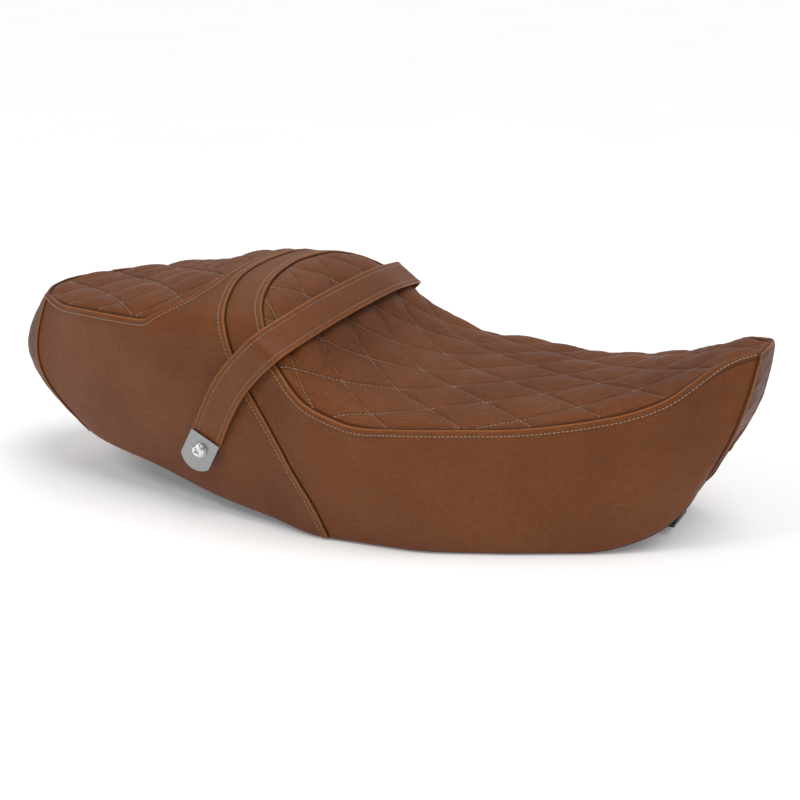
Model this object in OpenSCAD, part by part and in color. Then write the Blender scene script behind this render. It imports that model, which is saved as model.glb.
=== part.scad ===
// Dual motorcycle seat with a quilted rider and passenger cushion and a grab strap.
// X points forward, Y to the rider's left, Z up. Z = 0 is the lowest edge of the skirt.

/* [Cushion shape] */
// Stations: x, crown height, shoulder height, shoulder half width, foot height, foot half width
stations = [
    [-300, 169, 165, 65, 45, 74],
    [-250, 176, 171, 92, 41, 82],
    [-180, 190, 172, 113, 31, 95],
    [-110, 205, 173, 123, 16, 110],
    [-50, 200, 170, 132, 8, 122],
    [10, 147, 127, 150, 0, 132],
    [80, 124, 111, 150, 0, 132],
    [150, 125, 111, 128, 0, 115],
    [220, 132, 118, 104, 0, 88],
    [280, 147, 133, 78, 12, 66],
    [320, 163, 156, 46, 33, 51],
    [345, 167, 162, 24, 57, 40],
]; // [x rises down the table]
// How square the top is across, 2 for round and 4 for boxy
squareness = 3; // [2:0.5:4]
// Outward bulge of the side walls
side_bulge = 7; // [2:1:12]
// Length of the tail and of the nose over which the ends are shaped
end_length = [100, 145]; // [80:5:160]
// How far the foot of the tail and of the nose lies forward of its shoulder
end_lean = [46, -37]; // [-60:1:60]
// How far the top edge bows out at the tail and at the nose
end_bow = [-26, 3]; // [-40:1:20]
// How far the side edge bows out at the tail and at the nose
end_arch = [-29, 8]; // [-40:1:20]

/* [Seams] */
// Seam across the hump between front and rear skirt: girth (0 crown, 1 shoulder, 2 foot), x
cross_seam = [
    [0, -104], [0.5, -100], [0.8, -91], [1, -79], [1.3, -55], [1.5, -21], [1.7, 2], [2, 15],
]; // [x rises]
// Rear border of the rider cushion: girth, x (below the shoulder it is only a grid line)
rider_border = [[0, -76], [0.5, -68], [0.8, -56], [1, -33], [1.5, 14], [2, 48]]; // [x rises]
// Front border of the passenger cushion: girth, x
passenger_border = [[0, -119], [0.5, -118], [0.7, -124], [0.85, -137], [1, -165]]; // [x falls]

/* [Layers] */
// Thickness of the leather with its backing
leather_t = 2; // [1.5:0.1:2.2]
// Depth of the bottom of the sewn quilting foam
pad_depth = 5; // [4:0.5:8]
// Free space between a layer and the next, on the top and on the sides
layer_gap = 0.1; // [0.05:0.05:0.3]
side_gap = 0.4; // [0.2:0.1:0.8]
// Girth at which the foam core ends and stands on the pan
foam_foot = 1.8; // [1.7:0.05:1.85]

/* [Pan] */
// Wall thickness of the moulded pan
pan_t = 3; // [2.5:0.5:4]
// Gap between the skirt's foot and the pan's wall
pan_inset = 5; // [4:0.5:8]
// Places of the cross ribs along the pan
rib_x = [-235, -150, -75, -20, 60, 110, 150, 205]; // [-240:5:260]
// Distance of both long ribs from the middle
rib_y = 38; // [30:1:50]
// Thickness of the ribs
rib_t = 2.5; // [2:0.5:4]
// Height of the ribs below the deck
rib_h = 6; // [4:1:12]

/* [Strap] */
// Pivot of the strap: x and height of both screws
pivot = [-108, 65]; // [-120:1:80]
// Width of the strap
strap_w = 30; // [25:1:38]
// Thickness of the strap
strap_t = 2.6; // [2:0.2:4]
// Underside of the strap from plate to crown: distance from the pivot, half width of the loop
strap_path = [
    [10, 125.6], [14, 125.7], [34, 130.6], [68, 136.4], [100, 141.4], [119, 146], [127, 143.5],
    [132, 132], [135, 118], [140, 95], [145, 68], [147.8, 40], [148.6, 0],
]; // [8:0.1:150]
// Lean of the strap above horizontal: distance from the pivot, angle
strap_lean = [[0, 62], [40, 61], [68, 59.5], [98, 56], [124, 53], [150, 51.5]]; // [45:0.5:70]
// Swing of the strap shown, for looking only
strap_swing = 0; // [0:1:25]

/* [Fasteners] */
// Radius of the strap screw's thread
screw_r = 2.95; // [2.45:0.05:3.95]
// Outer radius of the pivot bush
bush_r = 5; // [4.5:0.1:6]
// Running clearance of the plate on the bush
bush_clear = 0.05; // [0.02:0.01:0.1]
// Half width over the plates' inner faces
plate_y = 128.4; // [127:0.2:131]
// Thickness of a strap plate
plate_t = 1.6; // [1.2:0.2:2.5]
// Length of a strap plate below and above the screw
plate_reach = [20, 13]; // [8:1:26]

/* [Frame fittings] */
// Radius of the rubber dampers
damper_r = 11; // [8:1:14]
// Radius of a damper's stem
damper_stem_r = 4; // [3:0.5:5]
// Dampers: x and half spacing of the front, middle and rear pair
damper_at = [[180, 60], [20, 90], [-180, 60]]; // [-200:5:200]
// Height of each damper pair's seat above the skirt's foot
damper_foot = [3, 3, 34]; // [0:1:40]
// Radius of the latch striker's rod
striker_r = 3.5; // [3:0.5:4]
// Half width of the striker's loop at the rod's centre
striker_half = 11; // [10:1:14]
// Place of the striker along the seat
striker_x = -205; // [-220:5:-190]
// Width of the front hook
hook_w = 40; // [30:2:60]
// Thickness of the front hook
hook_t = 3; // [2:0.5:4]

/* [Hidden] */
$fn = 48;
TAIL = 0;
NOSE = 1;
// Cells of the cover grid: passenger cushion, rear band, front band, rider cushion
split = [9, 4, 3, 24];
first = [0, split[0], split[0] + split[1], split[0] + split[1] + split[2]];
columns = first[3] + split[3];
// Girth rows: coarse down the sides, finer over the top
side_rows = 5;
top_rows = 20;
rows = 2 * side_rows + top_rows;
end_x = [stations[0][0], stations[len(stations) - 1][0]];
// Sides of the pan's outline: cells along each flank, and half the cells across each end
flank_cells = 22;
end_cells = 4;
// Outer face and size of the pan's ear, from its lower end to above the pivot
ear_y = 108.5;
ear_size = [32, 12];
ear_top = 15;
// Thickness of the folded hem, and its height on the pan's inner wall
hem_t = 1.5;
hem_h = 10;
insert_r = 4.5;
striker_plate_t = 3;
nut_h = 4.5;
rivet_at = [225, 12];
rivet_r = 2.5;
// Curve steps between two points of the strap's path
steps = 3;
// Underside of the strap in its own plane, from the right plate over the crown to the left one
half_path = [
    for (k = [0:(len(strap_path) - 1) * steps])
        let (i = min(floor(k / steps), len(strap_path) - 2), t = k / steps - i)
        let (a = strap_path[max(i - 1, 0)], b = strap_path[i], c = strap_path[i + 1])
        let (d = i + 2 < len(strap_path) ? strap_path[i + 2] : [strap_path[i][0], -strap_path[i][1]])
        b + t / 2 * (c - a) + t ^ 2 * (a - 2.5 * b + 2 * c - d / 2)
        + t ^ 3 * (-a / 2 + 1.5 * b - 1.5 * c + d / 2)
];
full_path = concat(
    [for (p = half_path) [p[0], -p[1]]],
    [for (k = [len(half_path) - 2:-1:0]) half_path[k]]
);
leather = [0.46, 0.27, 0.15];
leather_dark = [0.36, 0.20, 0.11];

// ---- curves through tables ----

// Slope of a table at row i: flat at a turning point, so the curve never overshoots
function slope(tab, i, c) =
    let (n = len(tab) - 1)
    let (j = max(i, 1), before = (tab[j][c] - tab[j - 1][c]) / (tab[j][0] - tab[j - 1][0]))
    let (k = min(i, n - 1), after = (tab[k + 1][c] - tab[k][c]) / (tab[k + 1][0] - tab[k][0]))
    i == 0 ? after : i == n ? before : before * after <= 0 ? 0
    : (tab[i + 1][c] - tab[i - 1][c]) / (tab[i + 1][0] - tab[i - 1][0]);

function interval(tab, x, i = 0) = i >= len(tab) - 2 || x < tab[i + 1][0] ? i : interval(tab, x, i + 1);

// Smooth curve through column c of a table, at x
function along(tab, x, c = 1) =
    let (i = interval(tab, x), w = tab[i + 1][0] - tab[i][0], t = (x - tab[i][0]) / w)
    (2 * t ^ 3 - 3 * t ^ 2 + 1) * tab[i][c] + (3 * t ^ 2 - 2 * t ^ 3) * tab[i + 1][c]
    + w * (t ^ 3 - 2 * t ^ 2 + t) * slope(tab, i, c) + w * (t ^ 3 - t ^ 2) * slope(tab, i + 1, c);

// ---- the cover's outer face ----

// How strongly an end's shaping acts at station x
function near_end(x, e) = max(0, (e == TAIL ? -200 - x : x - 200) / end_length[e]) ^ 2;
function ends(x, amount) = amount[TAIL] * near_end(x, TAIL) + amount[NOSE] * near_end(x, NOSE);

// Point of the cover at station x and girth g, which runs from -2 at the right foot to 2 at the left one
function cover_at(x, g) =
    let (crown = along(stations, x, 1), shoulder = along(stations, x, 2), half = along(stations, x, 3))
    let (foot = along(stations, x, 4), foot_half = along(stations, x, 5), u = abs(g), s = u - 1)
    u <= 1 ? [x + ends(x, end_bow) * (1 - g ^ 2), g * half, crown - (crown - shoulder) * u ^ squareness]
    : [
        x + ends(x, end_lean) * s + ends(x, end_arch) * sin(180 * s),
        sign(g) * (half + (foot_half - half) * s + side_bulge * sin(180 * s)),
        shoulder + (foot - shoulder) * s,
    ];

// The cover moved in by a depth, square to itself
function skin(x, g, depth) =
    let (n = cross(cover_at(x + 1, g) - cover_at(x - 1, g), cover_at(x, g + 0.02) - cover_at(x, g - 0.02)))
    cover_at(x, g) - depth * n / norm(n);

// Girth of grid row i and station of grid column j there
function girth(i) =
    i < side_rows ? -2 + i / side_rows
    : i <= side_rows + top_rows ? -1 + 2 * (i - side_rows) / top_rows
    : 1 + (i - side_rows - top_rows) / side_rows;
function borders(g) =
    let (u = abs(g))
    [
        end_x[TAIL], along(passenger_border, min(u, 1)), along(cross_seam, u), along(rider_border, u),
        end_x[NOSE],
    ];
function station(i, j) =
    let (b = borders(girth(i)), k = j >= first[3] ? 3 : j >= first[2] ? 2 : j >= first[1] ? 1 : 0)
    b[k] + (b[k + 1] - b[k]) * (j - first[k]) / split[k];

function grid_point(i, j, depth) = skin(station(i, j), girth(i), depth);
function on_top(i) = i >= side_rows && i < side_rows + top_rows;

// End caps: s runs down from the shoulder (0) to the foot (1), t across from -1 to 1
function reach(e, s, depth) =
    e == TAIL ? depth - 26 - 20 * sin(153 * s) : 3 + 3 * sin(180 * s) - 12 * s ^ 2 - depth;
function cap(e, s, t, depth) =
    let (edge = skin(end_x[e], 1 + s, depth))
    let (rise = along(stations, end_x[e], 1) - along(stations, end_x[e], 2))
    s == 0 ? skin(end_x[e], t, depth)
    : [
        edge[0] + reach(e, s, depth) * (1 - abs(t) ^ (2 + 0.6 * sin(180 * s))),
        t * edge[1],
        edge[2] + rise * (1 - s) * (1 - abs(t) ^ squareness),
    ];

// ---- closed shells over a grid ----

// Shell between two depths over the grid cells that are kept
module shell(ni, nj, at, kept, outer, inner) {
    n = (ni + 1) * (nj + 1);
    points = [for (depth = [outer, inner]) for (i = [0:ni]) for (j = [0:nj]) at(i, j, depth)];
    id = function (i, j, side) side * n + i * (nj + 1) + j;
    has = function (i, j) i >= 0 && j >= 0 && i < ni && j < nj && kept(i, j);
    // Both neighbours of an edge split its wall along the same diagonal
    rising = function (a, b) (points[b] - points[a]) * [1, 2, 4] > 0;
    wall = function (a, b)
        rising(a, b) ? [[b, a, a + n], [b, a + n, b + n]] : [[b, a, b + n], [a, a + n, b + n]];
    faces = [
        for (i = [0:ni - 1]) for (j = [0:nj - 1]) if (has(i, j))
            let (a = id(i, j, 0), b = id(i + 1, j, 0), c = id(i + 1, j + 1, 0), d = id(i, j + 1, 0))
            each [
                [a, b, c], [a, c, d],
                [a + n, c + n, b + n], [a + n, d + n, c + n],
                if (!has(i, j - 1)) each wall(a, b),
                if (!has(i + 1, j)) each wall(b, c),
                if (!has(i, j + 1)) each wall(c, d),
                if (!has(i - 1, j)) each wall(d, a),
            ],
    ];
    polyhedron(points, faces);
}

module panel(kept, outer, inner) {
    shell(rows, columns, function (i, j, depth) grid_point(i, j, depth), kept, outer, inner);
}

module end_panel(e, outer, inner) {
    t = function (j) -1 + 2 * j / top_rows;
    // Rows run down at the tail and up at the nose, so that both face outward
    s = function (i) e == TAIL ? i / side_rows : 1 - i / side_rows;
    at = function (i, j, depth) cap(e, s(i), -t(j), depth);
    shell(side_rows, top_rows, at, function (i, j) true, outer, inner);
}

// ---- soft parts ----

module rider_panel() {
    color(leather) panel(function (i, j) on_top(i) && j >= first[3], 0, leather_t);
}

module passenger_panel() {
    color(leather) panel(function (i, j) on_top(i) && j < first[1], 0, leather_t);
}

module rider_pad() {
    color("khaki") panel(function (i, j) on_top(i) && j >= first[3], leather_t + layer_gap, pad_depth);
}

module passenger_pad() {
    color("khaki") panel(function (i, j) on_top(i) && j < first[1], leather_t + layer_gap, pad_depth);
}

module front_skirt() {
    color(leather) panel(function (i, j) j >= first[2] && (!on_top(i) || j < first[3]), 0, leather_t);
}

module rear_skirt() {
    color(leather)
        difference() {
            panel(function (i, j) j < first[2] && (!on_top(i) || j >= first[1]), 0, leather_t);
            strap_axis() translate([0, 0, -150]) cylinder(r = bush_r + 1, h = 300);
        }
}

module nose_panel() {
    color(leather_dark) end_panel(NOSE, 0, leather_t);
}

module tail_panel() {
    color(leather_dark) end_panel(TAIL, 0, leather_t);
}

// Depth of the foam at girth g: under the quilting on top, right under the leather on the sides
function foam_depth(g) = abs(g) <= 1 ? pad_depth + layer_gap : leather_t + side_gap;

// Girth of the foam's grid rows: as the cover's, but ending at foam_foot
function foam_girth(i) = let (g = girth(i)) sign(g) * min(abs(g), foam_foot);

// Station of the foam's grid column j: as the cover's, but kept behind the end panels
function foam_station(i, j) =
    min(max(station(i, j), end_x[TAIL] + leather_t + side_gap), end_x[NOSE] - leather_t - side_gap);

module foam_body() {
    low = 1;
    high = rows - 1;
    wide = high - low + 1;
    // Rings of the hull, from tail to nose
    ring_points = [
        for (j = [0:columns]) for (i = [low:high])
            skin(foam_station(i, j), foam_girth(i), foam_depth(girth(i)))
    ];
    ring = function (i, j) j * wide + i - low;
    hull_faces = [
        for (j = [0:columns - 1]) each [
            for (i = [low:high - 1]) each [
                [ring(i, j), ring(i + 1, j), ring(i + 1, j + 1)],
                [ring(i, j), ring(i + 1, j + 1), ring(i, j + 1)],
            ],
            if (j > 0 && j < columns - 1) [ring(high, j), ring(low, j), ring(low, j + 1), ring(high, j + 1)],
        ],
    ];
    // Both ends, filled in by the inner points of the end caps
    down = side_rows - low;
    cap_start = function (e) len(ring_points) + e * down * (top_rows - 1);
    cap_points = [
        for (e = [TAIL, NOSE]) for (k = [1:down]) for (c = [1:top_rows - 1])
            cap(e, k / side_rows, -1 + 2 * c / top_rows, foam_depth(1.5))
    ];
    edge = function (e) e == TAIL ? 0 : columns;
    at = function (e, k, c)
        k == 0 ? ring(side_rows + c, edge(e))
        : c == 0 ? ring(side_rows - k, edge(e))
        : c == top_rows ? ring(side_rows + top_rows + k, edge(e))
        : cap_start(e) + (k - 1) * (top_rows - 1) + c - 1;
    facing = function (e, face) e == NOSE ? face : [for (k = [len(face) - 1:-1:0]) face[k]];
    middle = top_rows / 2;
    cap_faces = [
        for (e = [TAIL, NOSE]) let (j = e == TAIL ? 1 : columns - 1) each [
            for (k = [0:down - 1]) for (c = [0:top_rows - 1])
                facing(e, [at(e, k, c + 1), at(e, k + 1, c + 1), at(e, k + 1, c), at(e, k, c)]),
            // Underside between the last ring but one and the rim of the cap
            facing(e, [ring(high, j), ring(low, j), at(e, down, middle)]),
            for (c = [0:top_rows - 1])
                facing(e, [ring(c < middle ? low : high, j), at(e, down, c), at(e, down, c + 1)]),
        ],
    ];
    polyhedron(concat(ring_points, cap_points), concat(hull_faces, cap_faces));
}

// Space under the foam's front end, behind the lower part of the nose panel
module nose_undercut() {
    a = cap(NOSE, 1, 0, leather_t) - [1.5, 0, 0];
    b = cap(NOSE, 0.6, 0, leather_t) - [1.5, 0, 0];
    rotate([90, 0, 0]) translate([0, 0, -60]) linear_extrude(height = 120)
        polygon([[a[0], 0], [a[0], a[2]], [b[0], b[2]], [b[0] + 60, b[2]], [b[0] + 60, 0]]);
}

module foam_core() {
    color("gainsboro")
        difference() {
            foam_body();
            nose_undercut();
            for (side = [-1, 1]) ear_block(side, 1.5);
            strap_axis() translate([0, 0, -150]) cylinder(r = bush_r + 1, h = 300);
        }
}

// ---- pan ----

// Outline of the skirt's foot, moved in
function flank_x(k) = end_x[TAIL] + k / flank_cells * (end_x[NOSE] - end_x[TAIL]);
function end_line(e, inset) = [
    for (k = [1:2 * end_cells - 1])
        let (t = (e == NOSE ? 1 : -1) * (1 - k / end_cells), p = cap(e, 1, t, 0))
        [p[0] + (e == NOSE ? -inset : inset), p[1] - inset * t]
];
function foot_outline(inset) =
    let (left = [for (k = [0:flank_cells]) let (p = cover_at(flank_x(k), 2)) [p[0], p[1] - inset]])
    let (nose = end_line(NOSE, inset), limit = nose[0][0])
    concat(
        [for (p = left) [min(p[0], limit), p[1]]], nose,
        [for (k = [flank_cells:-1:0]) [min(left[k][0], limit), -left[k][1]]], end_line(TAIL, inset)
    );

// Height of the pan's deck, seen from the side, and of its underside
function deck(x) = cover_at(x, foam_foot)[2] - 1;
function deck_under(x) = deck(x) - pan_t;

// Side views of the skirt's foot and of the deck, raised or lowered
function foot_line(lift) = [for (k = [0:flank_cells]) let (p = cover_at(flank_x(k), 2)) [p[0], p[2] + lift]];
function deck_line(drop) = [
    for (k = [0:flank_cells]) let (p = cover_at(flank_x(k), foam_foot)) [p[0], p[2] - 1 - drop]
];

// Prism over the foot outline, and a slab between two side views that runs past both ends
module plan_prism(inset) {
    translate([0, 0, -10]) linear_extrude(height = 140) polygon(foot_outline(inset));
}

module slab(lower, upper) {
    n = flank_cells;
    past = 60;
    outline = concat(
        [lower[0] - [past, 0]], lower, [lower[n] + [past, 0], upper[n] + [past, 0]],
        [for (k = [n:-1:0]) upper[k]], [upper[0] - [past, 0]]
    );
    rotate([90, 0, 0]) translate([0, 0, -160]) linear_extrude(height = 320) polygon(outline);
}

// Upstand of the pan that takes a strap screw; grow widens it, for the pocket in the foam
module ear_block(side, grow = 0) {
    size = [ear_size[0] + 2 * grow, ear_size[1] + 2 * grow];
    low = deck(pivot[0]) - 12;
    translate([pivot[0] - size[0] / 2, side * (ear_y - ear_size[1] / 2) - size[1] / 2, low])
        cube([size[0], size[1], pivot[1] + ear_top + grow - low]);
}

module seat_pan() {
    color([0.12, 0.12, 0.12])
        difference() {
            union() {
                difference() {
                    intersection() {
                        plan_prism(pan_inset);
                        slab(foot_line(1), deck_line(0));
                    }
                    intersection() {
                        plan_prism(pan_inset + pan_t);
                        slab(foot_line(-30), deck_line(pan_t));
                    }
                }
                intersection() {
                    plan_prism(pan_inset + pan_t - 1);
                    slab(deck_line(pan_t + rib_h), deck_line(1));
                    pan_ribs();
                }
                for (side = [-1, 1]) ear_block(side);
                boss(208, 242, hook_w / 2, hook_top);
                boss(striker_x - 16, striker_x + 16, 32, plate_top);
            }
            for (side = [-1, 1]) insert_hole(side);
            for (k = [0:2]) damper_pair(k) cylinder(r = damper_stem_r, h = 60);
            rivet_pair() cylinder(r = rivet_r, h = 90);
            for (side = [-1, 1])
                translate([striker_x, side * striker_half, 0]) cylinder(r = striker_r, h = 120);
        }
}

// Ribs across and along the pan, before they are cut to the deck's curve
module pan_ribs() {
    for (x = rib_x) translate([x, -150, 0]) cube([rib_t, 300, 120]);
    for (side = [-1, 1]) translate([rib_x[0], side * rib_y - rib_t / 2, 0])
        cube([rib_x[len(rib_x) - 1] - rib_x[0], rib_t, 120]);
}

// Flat boss that fills the space between the deck and a fitting
module boss(x0, x1, half, height) {
    intersection() {
        translate([x0, -half, height]) cube([x1 - x0, 2 * half, 40]);
        slab(deck_line(40), deck_line(1));
    }
}

// ---- hem of the cover ----

// Edge of the cover, folded up inside the pan's wall
module cover_hem() {
    color(leather_dark)
        intersection() {
            difference() {
                plan_prism(pan_inset + pan_t + layer_gap);
                plan_prism(pan_inset + pan_t + layer_gap + hem_t);
            }
            slab(foot_line(1), foot_line(1 + hem_h));
        }
}

// Staples on the hem's inner face, on every second cell of both flanks, with their legs in the pan
module hem_staples() {
    inner = foot_outline(pan_inset + pan_t + layer_gap + hem_t);
    wire = 0.7;
    crown = 10;
    leg = 2.8;
    color("silver")
        for (k = [1:2:flank_cells - 3]) for (side = [0, 1]) {
            run = inner[k + 1] - inner[k];
            middle = (inner[k] + inner[k + 1]) / 2;
            height = cover_at(flank_x(k + 0.5), 2)[2] + 8;
            mirror([0, side, 0]) translate([middle[0], middle[1], height])
                rotate([0, 0, atan2(run[1], run[0])]) {
                    translate([-crown / 2, -wire, -wire / 2]) cube([crown, wire, wire]);
                    for (end = [-crown / 2, crown / 2 - wire])
                        translate([end, -wire, -wire / 2]) cube([wire, leg, wire]);
                }
        }
}

// ---- strap and its pivots ----

// Puts local Z on the strap's pivot axis, pointing to the left
module strap_axis() {
    translate([pivot[0], 0, pivot[1]]) rotate([-90, 0, 0]) children();
}

// Puts local Z outward on one side's pivot axis; side is 1 for left and -1 for right
module at_pivot(side) {
    translate([pivot[0], 0, pivot[1]]) rotate([-90 * side, 0, 0]) children();
}

// Corner of the strap's section: k along it, across -1 (front edge) or 1, lift from the underside
function strap_point(k, across, lift) =
    let (n = len(full_path) - 1, p = full_path[k])
    let (run = full_path[min(k + 1, n)] - full_path[max(k - 1, 0)], out = [run[1], -run[0]] / norm(run))
    let (q = p + lift * out, a = along(strap_lean, min(q[0], 150)))
    [
        pivot[0] + q[0] * cos(a) - across * strap_w / 2 * sin(a),
        q[1],
        pivot[1] + q[0] * sin(a) + across * strap_w / 2 * cos(a),
    ];

module strap() {
    n = len(full_path) - 1;
    points = [
        for (k = [0:n]) each [
            for (c = [[-1, 0], [1, 0], [1, strap_t], [-1, strap_t]]) strap_point(k, c[0], c[1]),
        ],
    ];
    faces = concat(
        [[0, 1, 2, 3]],
        [
            for (k = [0:n - 1]) for (c = [0:3])
                let (a = 4 * k + c, b = 4 * k + (c + 1) % 4) [a, a + 4, b + 4, b],
        ],
        [[4 * n + 3, 4 * n + 2, 4 * n + 1, 4 * n]]
    );
    color(leather) swing() polyhedron(points, faces);
}

// Turns what belongs to the strap about its pivot axis
module swing() {
    translate([pivot[0], 0, pivot[1]]) rotate([0, -strap_swing, 0])
        translate([-pivot[0], 0, -pivot[1]]) children();
}

// Steel end plate: straight top edge over the strap, round lower end about the bush
module strap_plate(side) {
    tilt = along(strap_lean, 10);
    round_r = strap_w / 2 + 3;
    color("silver")
        swing() translate([pivot[0], side * (plate_y + plate_t / 2), pivot[1]])
            rotate([90, 90 - tilt, 0]) translate([0, 0, -plate_t / 2]) linear_extrude(height = plate_t)
                difference() {
                    intersection() {
                        union() {
                            translate([0, round_r - plate_reach[0]]) circle(r = round_r);
                            translate([-strap_w / 2, 0]) square([strap_w, plate_reach[1]]);
                        }
                        translate([-strap_w / 2, -50]) square([strap_w, 50 + plate_reach[1]]);
                    }
                    circle(r = bush_r + bush_clear, $fn = 64);
                }
}

module strap_plate_right() { strap_plate(-1); }
module strap_plate_left() { strap_plate(1); }

// Steel bush that the plate turns on, clamped between the pan's ear and the screw's washer
module strap_bush(side) {
    color("silver")
        at_pivot(side) translate([0, 0, ear_y])
            difference() {
                cylinder(r = bush_r, h = plate_y + plate_t + 0.2 - ear_y, $fn = 64);
                translate([0, 0, -1]) cylinder(r = screw_r + 0.05, h = 30);
            }
}

module strap_bush_right() { strap_bush(-1); }
module strap_bush_left() { strap_bush(1); }

module strap_washer(side) {
    color("silver")
        at_pivot(side) translate([0, 0, plate_y + plate_t + 0.2])
            difference() {
                cylinder(r = bush_r + 1.6, h = 1);
                translate([0, 0, -1]) cylinder(r = screw_r + 0.05, h = 5);
            }
}

module strap_washer_right() { strap_washer(-1); }
module strap_washer_left() { strap_washer(1); }

// M6 pan head screw with a cross recess
module strap_screw(side) {
    seat = plate_y + plate_t + 1.2;
    color("silver")
        at_pivot(side) difference() {
            union() {
                translate([0, 0, seat - 26]) cylinder(r = screw_r, h = 27);
                translate([0, 0, seat]) cylinder(r = 6.2, h = 2.2);
                translate([0, 0, seat + 2.2]) cylinder(r1 = 6.2, r2 = 4.4, h = 1.6);
            }
            for (turn = [28, 118])
                rotate([0, 0, turn]) translate([-3, -0.7, seat + 1.6]) cube([6, 1.4, 4]);
        }
}

module strap_screw_right() { strap_screw(-1); }
module strap_screw_left() { strap_screw(1); }

module insert_hole(side) {
    at_pivot(side) translate([0, 0, ear_y - 20]) cylinder(r = insert_r, h = 30);
}

// Brass threaded insert in the pan's ear
module strap_insert(side) {
    color("goldenrod")
        at_pivot(side) translate([0, 0, ear_y - 12])
            difference() {
                cylinder(r = insert_r, h = 12);
                translate([0, 0, -1]) cylinder(r = screw_r, h = 20);
            }
}

module strap_insert_right() { strap_insert(-1); }
module strap_insert_left() { strap_insert(1); }

// ---- fittings under the pan ----

// Heights of the flat bosses for the hook and for the striker's plate
hook_top = deck_under(208) - 0.3;
plate_top = deck_under(striker_x + 16) - 0.3;

// Hook that slips under the frame's cross bar at the front
module front_hook() {
    low = hook_top - 8;
    profile = [
        [208, hook_top], [244, hook_top], [254, low], [280, low], [280, low - hook_t],
        [252.5, low - hook_t], [242.5, hook_top - hook_t], [208, hook_top - hook_t],
    ];
    color("dimgray")
        difference() {
            rotate([90, 0, 0])
                translate([0, 0, -hook_w / 2]) linear_extrude(height = hook_w) polygon(profile);
            rivet_pair() cylinder(r = rivet_r, h = 90);
        }
}

module rivet_pair() {
    for (side = [-1, 1]) translate([rivet_at[0], side * rivet_at[1], 0]) children();
}

module front_hook_rivets() {
    low = hook_top - hook_t;
    color("silver")
        rivet_pair() {
            translate([0, 0, low - 2]) cylinder(r = rivet_r + 2, h = 2);
            translate([0, 0, low]) cylinder(r = rivet_r, h = deck(rivet_at[0]) - low);
        }
}

// Steel loop that drops into the frame's latch, with its threaded legs through the pan
module latch_striker() {
    top = deck(striker_x) - 1;
    loop_z = plate_top - 8.5;
    color("silver") translate([striker_x, 0, 0]) {
        for (side = [-1, 1])
            translate([0, side * striker_half, loop_z]) cylinder(r = striker_r, h = top - loop_z);
        translate([0, 0, loop_z]) rotate([-90, 0, 90]) rotate_extrude(angle = 180)
            translate([striker_half, 0]) circle(r = striker_r);
    }
}

module striker_plate() {
    color("dimgray")
        difference() {
            translate([striker_x - 14, -30, plate_top - striker_plate_t]) cube([28, 60, striker_plate_t]);
            for (side = [-1, 1])
                translate([striker_x, side * striker_half, plate_top - 10]) cylinder(r = striker_r, h = 20);
        }
}

module striker_nuts() {
    color("silver")
        for (side = [-1, 1])
            translate([striker_x, side * striker_half, plate_top - striker_plate_t - nut_h])
                difference() {
                    cylinder(r = 6.5, h = nut_h, $fn = 6);
                    translate([0, 0, -1]) cylinder(r = striker_r, h = nut_h + 2);
                }
}

module damper_pair(k) {
    for (side = [-1, 1]) translate([damper_at[k][0], side * damper_at[k][1], 0]) children();
}

// Rubber buffers that rest on the frame rails, each with a stem pressed into the pan
module dampers(k) {
    head = deck_under(damper_at[k][0]) - 2 - damper_foot[k];
    color([0.1, 0.1, 0.1])
        damper_pair(k) translate([0, 0, damper_foot[k]]) {
            cylinder(r1 = damper_r - 1.5, r2 = damper_r, h = 2);
            translate([0, 0, 2]) cylinder(r = damper_r, h = head - 2);
            translate([0, 0, head]) cylinder(r = damper_stem_r, h = 5);
        }
}

module front_dampers() { dampers(0); }
module middle_dampers() { dampers(1); }
module rear_dampers() { dampers(2); }

seat_pan();
foam_core();
rider_pad();
passenger_pad();
rider_panel();
passenger_panel();
front_skirt();
rear_skirt();
nose_panel();
tail_panel();
cover_hem();
hem_staples();
strap();
strap_plate_right();
strap_plate_left();
strap_bush_right();
strap_bush_left();
strap_washer_right();
strap_washer_left();
strap_screw_right();
strap_screw_left();
strap_insert_right();
strap_insert_left();
front_hook();
front_hook_rivets();
latch_striker();
striker_plate();
striker_nuts();
front_dampers();
middle_dampers();
rear_dampers();
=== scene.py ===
import math

import bmesh
import bpy
import numpy as np
from mathutils import Matrix, Vector, noise
from mathutils.bvhtree import BVHTree
from mathutils.kdtree import KDTree


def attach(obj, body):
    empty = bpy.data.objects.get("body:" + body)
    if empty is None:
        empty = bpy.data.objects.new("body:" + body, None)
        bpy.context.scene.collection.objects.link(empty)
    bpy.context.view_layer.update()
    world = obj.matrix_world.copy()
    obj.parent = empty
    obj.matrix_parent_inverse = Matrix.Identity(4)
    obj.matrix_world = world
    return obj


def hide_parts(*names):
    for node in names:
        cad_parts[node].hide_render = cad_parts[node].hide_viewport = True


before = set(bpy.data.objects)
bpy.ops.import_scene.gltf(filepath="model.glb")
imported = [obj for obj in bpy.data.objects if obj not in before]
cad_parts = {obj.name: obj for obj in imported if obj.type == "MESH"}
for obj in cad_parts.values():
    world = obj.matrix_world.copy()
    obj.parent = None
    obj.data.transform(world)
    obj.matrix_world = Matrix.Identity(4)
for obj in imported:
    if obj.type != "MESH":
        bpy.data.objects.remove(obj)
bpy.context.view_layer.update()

MM = 0.001
TAIL, NOSE = 0, 1

# -------------------- the cover's shape, as in the CAD source, in mm

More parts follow.
